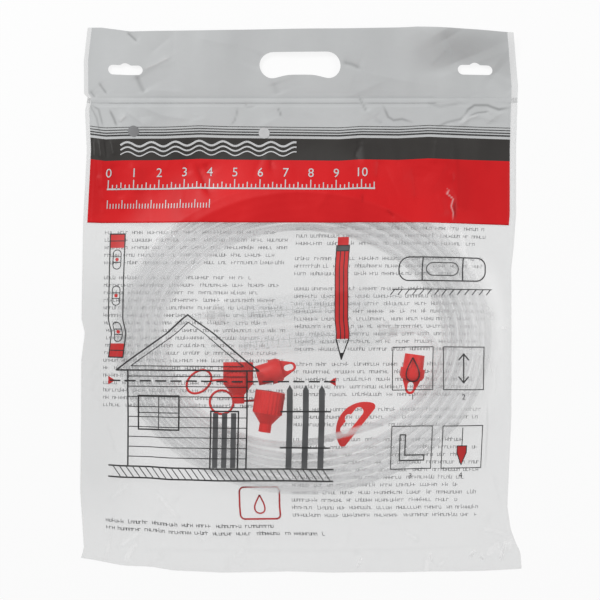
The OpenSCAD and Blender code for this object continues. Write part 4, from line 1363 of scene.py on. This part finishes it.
# House of boards on hatched ground, with a fence and a dashed level line
house = {
    "ends": (-176.0, 36.0), "ground": -158.0, "groundDeep": 11.0, "hatch": 6.2, "hatchLean": 8.0,
    "walls": (-94.0, 18.0), "wallTop": -66.0, "board": 9.6, "roofTop": (-38.0, -14.0), "eaves": 11.0,
    "gable": (14, 4, 7), "door": (-86.0, -60.0, -104.0), "doorBoards": (-81.5, -73, -64.5),
    "doorBoard": 5.0,
    "window": (-30.0, -122.0, 8.0, -90.0), "windowMiddle": (-11, -106), "gap": 0.8,
    "posts": (-164.0, -149.0, -134.0), "postWidth": 5.6, "postTop": -84.0, "postTip": 5.0,
    "rails": (-104.0, -138.0), "railEnds": (-172, -126),
    "levelY": -76.0, "dash": 9.5, "dashPitch": 14.4, "arrow": (7, 4),
}


def drawHouse(inks):
    h, black, grey = house, inks["black"], inks["grey"]
    bold, fine = inkLine["bold"], inkLine["fine"]
    left, right = h["ends"]
    ground, under, level = h["ground"], h["ground"] - h["groundDeep"], h["levelY"]
    for y in (ground, under):
        stroke(black, [(left, y), (right, y)], bold)
    for x in np.arange(left + 2, right - h["hatchLean"], h["hatch"]):
        stroke(black, [(x, under), (x + h["hatchLean"], ground)], fine)
    (wall0, wall1), top, (peakX, peakY) = h["walls"], h["wallTop"], h["roofTop"]
    eave0, eave1 = wall0 - h["eaves"], wall1 + h["eaves"]
    inset, rise, drop = h["gable"]
    for x in (wall0, wall1):
        stroke(black, [(x, ground), (x, top)], bold)
    stroke(black, [(eave0, top), (peakX, peakY), (eave1, top)], bold, True)
    gable = [(eave0 + inset, top + rise), (peakX, peakY - drop), (eave1 - inset, top + rise)]
    stroke(black, gable, fine, True)
    for y in np.arange(ground + h["board"], top - 2, h["board"]):
        stroke(black, [(wall0, y), (wall1, y)], fine)
    door0, door1, doorTop = h["door"]
    boxStroke(black, door0, ground, door1, doorTop, bold)
    for x in h["doorBoards"]:
        addBar(grey, (x, ground + 1), (x, doorTop - 1.5), h["doorBoard"])
    (x0, y0, x1, y1), (middleX, middleY) = h["window"], h["windowMiddle"]
    boxStroke(black, x0, y0, x1, y1, bold)
    stroke(black, [(middleX, y0), (middleX, y1)], fine)
    stroke(black, [(x0, middleY), (x1, middleY)], fine)
    half, postTop = h["postWidth"] / 2, h["postTop"]
    for x in h["posts"]:
        addBar(grey, (x, ground + h["gap"]), (x, postTop), h["postWidth"])
        filled(grey, [(x - half, postTop), (x + half, postTop), (x, postTop + h["postTip"])])
    for y in h["rails"]:
        stroke(black, [(x, y) for x in h["railEnds"]], bold)
    for x in np.arange(left, right - h["dash"], h["dashPitch"]):
        stroke(black, [(x, level), (x + h["dash"], level)], bold)
    reach, half = h["arrow"]
    for x, way in ((left - 1, 1), (right + 1, -1)):
        filled(inks["red"], [(x, level + half), (x, level - half), (x + way * reach, level)][::way])
    for mesh in inks.values():  # the house faces the other way
        for vert in mesh.verts:
            vert.co.x = left + right - vert.co.x


# A long bar level and a pencil, both upright
longLevel = {"x": -170.0, "ends": (-54.0, 62.0), "half": 7.0, "end": 13.0, "vialInset": 24,
             "vial": (3.8, 9, 3.6), "vialMark": 2.6, "markShare": 0.9, "bubble": 1.7}
pencil = {"x": 42.0, "ends": (-36.0, 46.0), "width": 12.0, "band": 5, "rubber": 13, "rubberShare": 0.86,
          "tip": 19, "lead": (2, 13, 19.5)}


def drawLevel(black, red):
    n, fine = longLevel, inkLine["fine"]
    x, (low, high) = n["x"], n["ends"]
    left, right = x - n["half"], x + n["half"]
    boxStroke(black, left, low, right, high, inkLine["middle"])
    for y in (low + n["end"] / 2, high - n["end"] / 2):
        addBar(red, (left, y), (right, y), n["end"])
        stroke(black, [(left, y), (right, y)], fine)
    half, tall, r = n["vial"]
    for y in (low + n["vialInset"], (low + high) / 2, high - n["vialInset"]):
        stroke(black, roundBox(x - half, y - tall, x + half, y + tall, r), fine, True)
        for side in (-n["vialMark"], n["vialMark"]):
            stroke(black, [(x - half, y + side), (x + half, y + side)], fine * n["markShare"])
        disc(red, x, y, n["bubble"])


def drawPencil(black, red, grey):
    p, fine = pencil, inkLine["fine"]
    x, wide, (low, high) = p["x"], p["width"], p["ends"]
    left, right, bandTop = x - wide / 2, x + wide / 2, high + p["band"]
    addBar(red, (x, low), (x, high), wide)
    for side in (-wide / 2, -wide / 6, wide / 6, wide / 2):
        stroke(black, [(x + side, low), (x + side, high)], fine)
    addBar(grey, (x, high), (x, bandTop), wide)
    boxStroke(black, left, high, right, bandTop, fine)
    addBar(red, (x, bandTop), (x, high + p["rubber"]), wide * p["rubberShare"])
    stroke(black, [(left, low), (x, low - p["tip"]), (right, low)], inkLine["middle"])
    half, leadTop, leadTip = p["lead"]
    filled(black, [(x - half, low - leadTop), (x, low - leadTip), (x + half, low - leadTop)])


# A vial on hatched ground, and four numbered boxes: a drop, an arrow, a square and a plumb bob
icons = {
    "vial": (96, 18, 178, 40, 9), "bubble": (122, 23, 152, 35, 6), "vialMarks": (118, 156),
    "ground": (90, 184, 10), "hatch": 7, "hatchLean": 4, "hatchDeep": 5,
    "boxes": [(90, -44), (138, -44), (90, -118), (138, -118)], "boxSize": (38, 40),
    "numberDrop": 47, "numberTall": 5.0, "drop": (109, -65, 9),
    "arrowAt": (157, -64), "arrowReach": 13, "arrowTip": 13.5, "barb": (4.5, 8),
    "square": [(98, -150), (121, -150), (121, -145), (103, -145), (103, -126), (98, -126)],
    "bobX": 157, "bobHalf": 4.5, "bobLevels": (-120, -137, -143.5, -155),
}


def drawIcons(black, red):
    c, middle, fine = icons, inkLine["middle"], inkLine["fine"]
    stroke(black, roundBox(*c["vial"]), middle, True)
    stroke(black, roundBox(*c["bubble"]), fine, True)
    for x in c["vialMarks"]:
        stroke(black, [(x, c["vial"][1]), (x, c["vial"][3])], middle)
    left, right, y = c["ground"]
    stroke(black, [(left, y), (right, y)], fine)
    for x in np.arange(left + 2, right, c["hatch"]):
        stroke(black, [(x, y), (x - c["hatchLean"], y - c["hatchDeep"])], fine)
    wide, tall = c["boxSize"]
    for number, (x, y) in enumerate(c["boxes"], 1):
        boxStroke(black, x, y - tall, x + wide, y, fine)
        addNumber(black, str(number), (x + wide / 2, y - c["numberDrop"]), c["numberTall"])
    stroke(black, dropOutline(*c["drop"]), middle, True)
    (x, y), (half, back) = c["arrowAt"], c["barb"]
    for way in (-1, 1):
        barbY = y + way * back
        stroke(black, [(x, y), (x, y + way * c["arrowReach"])], middle)
        stroke(black, [(x - half, barbY), (x, y + way * c["arrowTip"]), (x + half, barbY)], middle)
    stroke(black, c["square"], middle, True)
    x, half, (string, top, low, tip) = c["bobX"], c["bobHalf"], c["bobLevels"]
    cone = [(x - half, low), (x, tip), (x + half, low)]
    stroke(black, [(x, string), (x, top)], fine)
    addBar(red, (x, low), (x, top), 2 * half)
    filled(red, cone)
    stroke(black, [*cone, (x + half, top), (x - half, top)], fine, True)


# Which inks lie on the front film and how high, rows of small print, and a sign on the back film
prints = {
    "frontLifts": {"grey": 0.2, "red": 0.24, "black": 0.3, "pale": 0.36, "middle": 0.36},
    "backLifts": {"faint": 0.12, "red": 0.12}, "longest": 4.2,
    "frontRows": (-180, 24, -214, 2, 0.7), "backRows": [(-182, -12, 62, 24, 0.2), (-2, 177, 66, 39, 0.2)],
    "sign": (-52, -206, -14, -176, 4), "signLine": 1.7, "signDrop": (-33, -192, 7), "dropLine": 1.5,
}


def addPrint(name, mesh, finish, lay, lift):
    longEdges = [edge for edge in mesh.edges if edge.calc_length() > prints["longest"]]
    if longEdges:
        bmesh.ops.subdivide_edges(mesh, edges=longEdges, cuts=2, use_grid_fill=True)
    bmesh.ops.triangulate(mesh, faces=[face for face in mesh.faces if len(face.verts) > 4])
    lay(mesh, lift)
    for face in mesh.faces:
        face.normal_update()
        if face.normal.z < 0:
            face.normal_flip()
    addPiece(name, mesh, finish, "bag", (), allSmooth)


def addPrints():
    rng = random.Random(smallPrint["seed"])
    inks = {name: bmesh.new() for name in prints["frontLifts"]}
    drawHouse(inks)
    drawBands(inks)
    drawLevel(inks["black"], inks["red"])
    drawPencil(inks["black"], inks["red"], inks["grey"])
    drawIcons(inks["black"], inks["red"])
    tickRows(inks["grey"], rng, *prints["frontRows"])
    for name, lift in prints["frontLifts"].items():
        addPrint("print_" + name, inks[name], name + "Ink", onFront, lift)
    inks = {name: bmesh.new() for name in prints["backLifts"]}
    for rows in prints["backRows"]:
        tickRows(inks["faint"], rng, *rows)
    stroke(inks["red"], roundBox(*prints["sign"]), prints["signLine"], True)
    stroke(inks["red"], dropOutline(*prints["signDrop"]), prints["dropLine"], True)
    for name, lift in prints["backLifts"].items():
        addPrint("back_print_" + name, inks[name], name + "Ink", onBack, lift)
    print("prints laid")


addPrints()

# Studio: pale floor, even light from all round, one soft key lamp and a fill lamp
studio = {
    "world": 0.36, "floorZ": -0.4, "floorSize": 30000.0, "floorTone": 0.93, "floorRoughness": 0.9,
    "backdrop": 0.86,
    "lamps": {"key": ((-1150, 1250, 1500), 700, 27.0), "fill": ((1500, 250, 1300), 900, 9.0)},
}


def addMath(tree, operation, first, second):
    node = tree.nodes.new("ShaderNodeMath")
    node.operation = operation
    tree.links.new(first, node.inputs[0])
    if isinstance(second, float):
        node.inputs[1].default_value = second
    else:
        tree.links.new(second, node.inputs[1])
    return node.outputs[0]


# Floor that keeps the shadow, and looks white to the camera, in gloss and through clear plastic
def floorMaterial():
    material, tree, shader = startMaterial("floor")
    shader.inputs["Base Color"].default_value = (*[studio["floorTone"]] * 3, 1)
    shader.inputs["Roughness"].default_value = studio["floorRoughness"]
    shader.inputs["Specular IOR Level"].default_value = 0
    path = tree.nodes.new("ShaderNodeLightPath")
    seen = path.outputs["Is Camera Ray"]
    for ray in ("Is Glossy Ray", "Is Transmission Ray"):
        seen = addMath(tree, "MAXIMUM", seen, path.outputs[ray])
    mix = tree.nodes.new("ShaderNodeMixShader")
    glow = tree.nodes.new("ShaderNodeEmission")
    tree.links.new(addMath(tree, "MULTIPLY", seen, studio["backdrop"]), mix.inputs[0])
    tree.links.new(shader.outputs[0], mix.inputs[1])
    tree.links.new(glow.outputs[0], mix.inputs[2])
    tree.links.new(mix.outputs[0], tree.nodes["Material Output"].inputs["Surface"])
    return material


def addStudio():
    world = bpy.data.worlds.new("studio")
    world.use_nodes = True
    sky = world.node_tree.nodes["Background"]
    sky.inputs["Color"].default_value = (1, 1, 1, 1)
    sky.inputs["Strength"].default_value = studio["world"]
    scene.world = world
    for name, (place, size, power) in studio["lamps"].items():
        data = bpy.data.lights.new(name, "AREA")
        data.size = size * mm
        data.energy = power
        lamp = bpy.data.objects.new(name, data)
        lamp.location = Vector(place) * mm
        lamp.rotation_euler = (-Vector(place)).to_track_quat("-Z", "Y").to_euler()
        scene.collection.objects.link(lamp)
    mesh = bmesh.new()
    bmesh.ops.create_grid(mesh, x_segments=1, y_segments=1, size=studio["floorSize"] * mm)
    bmesh.ops.translate(mesh, vec=(0, 0, studio["floorZ"] * mm), verts=mesh.verts)
    floor = makeObject("floor", mesh)
    floor.data.materials.append(floorMaterial())


addStudio()
print("studio lit")
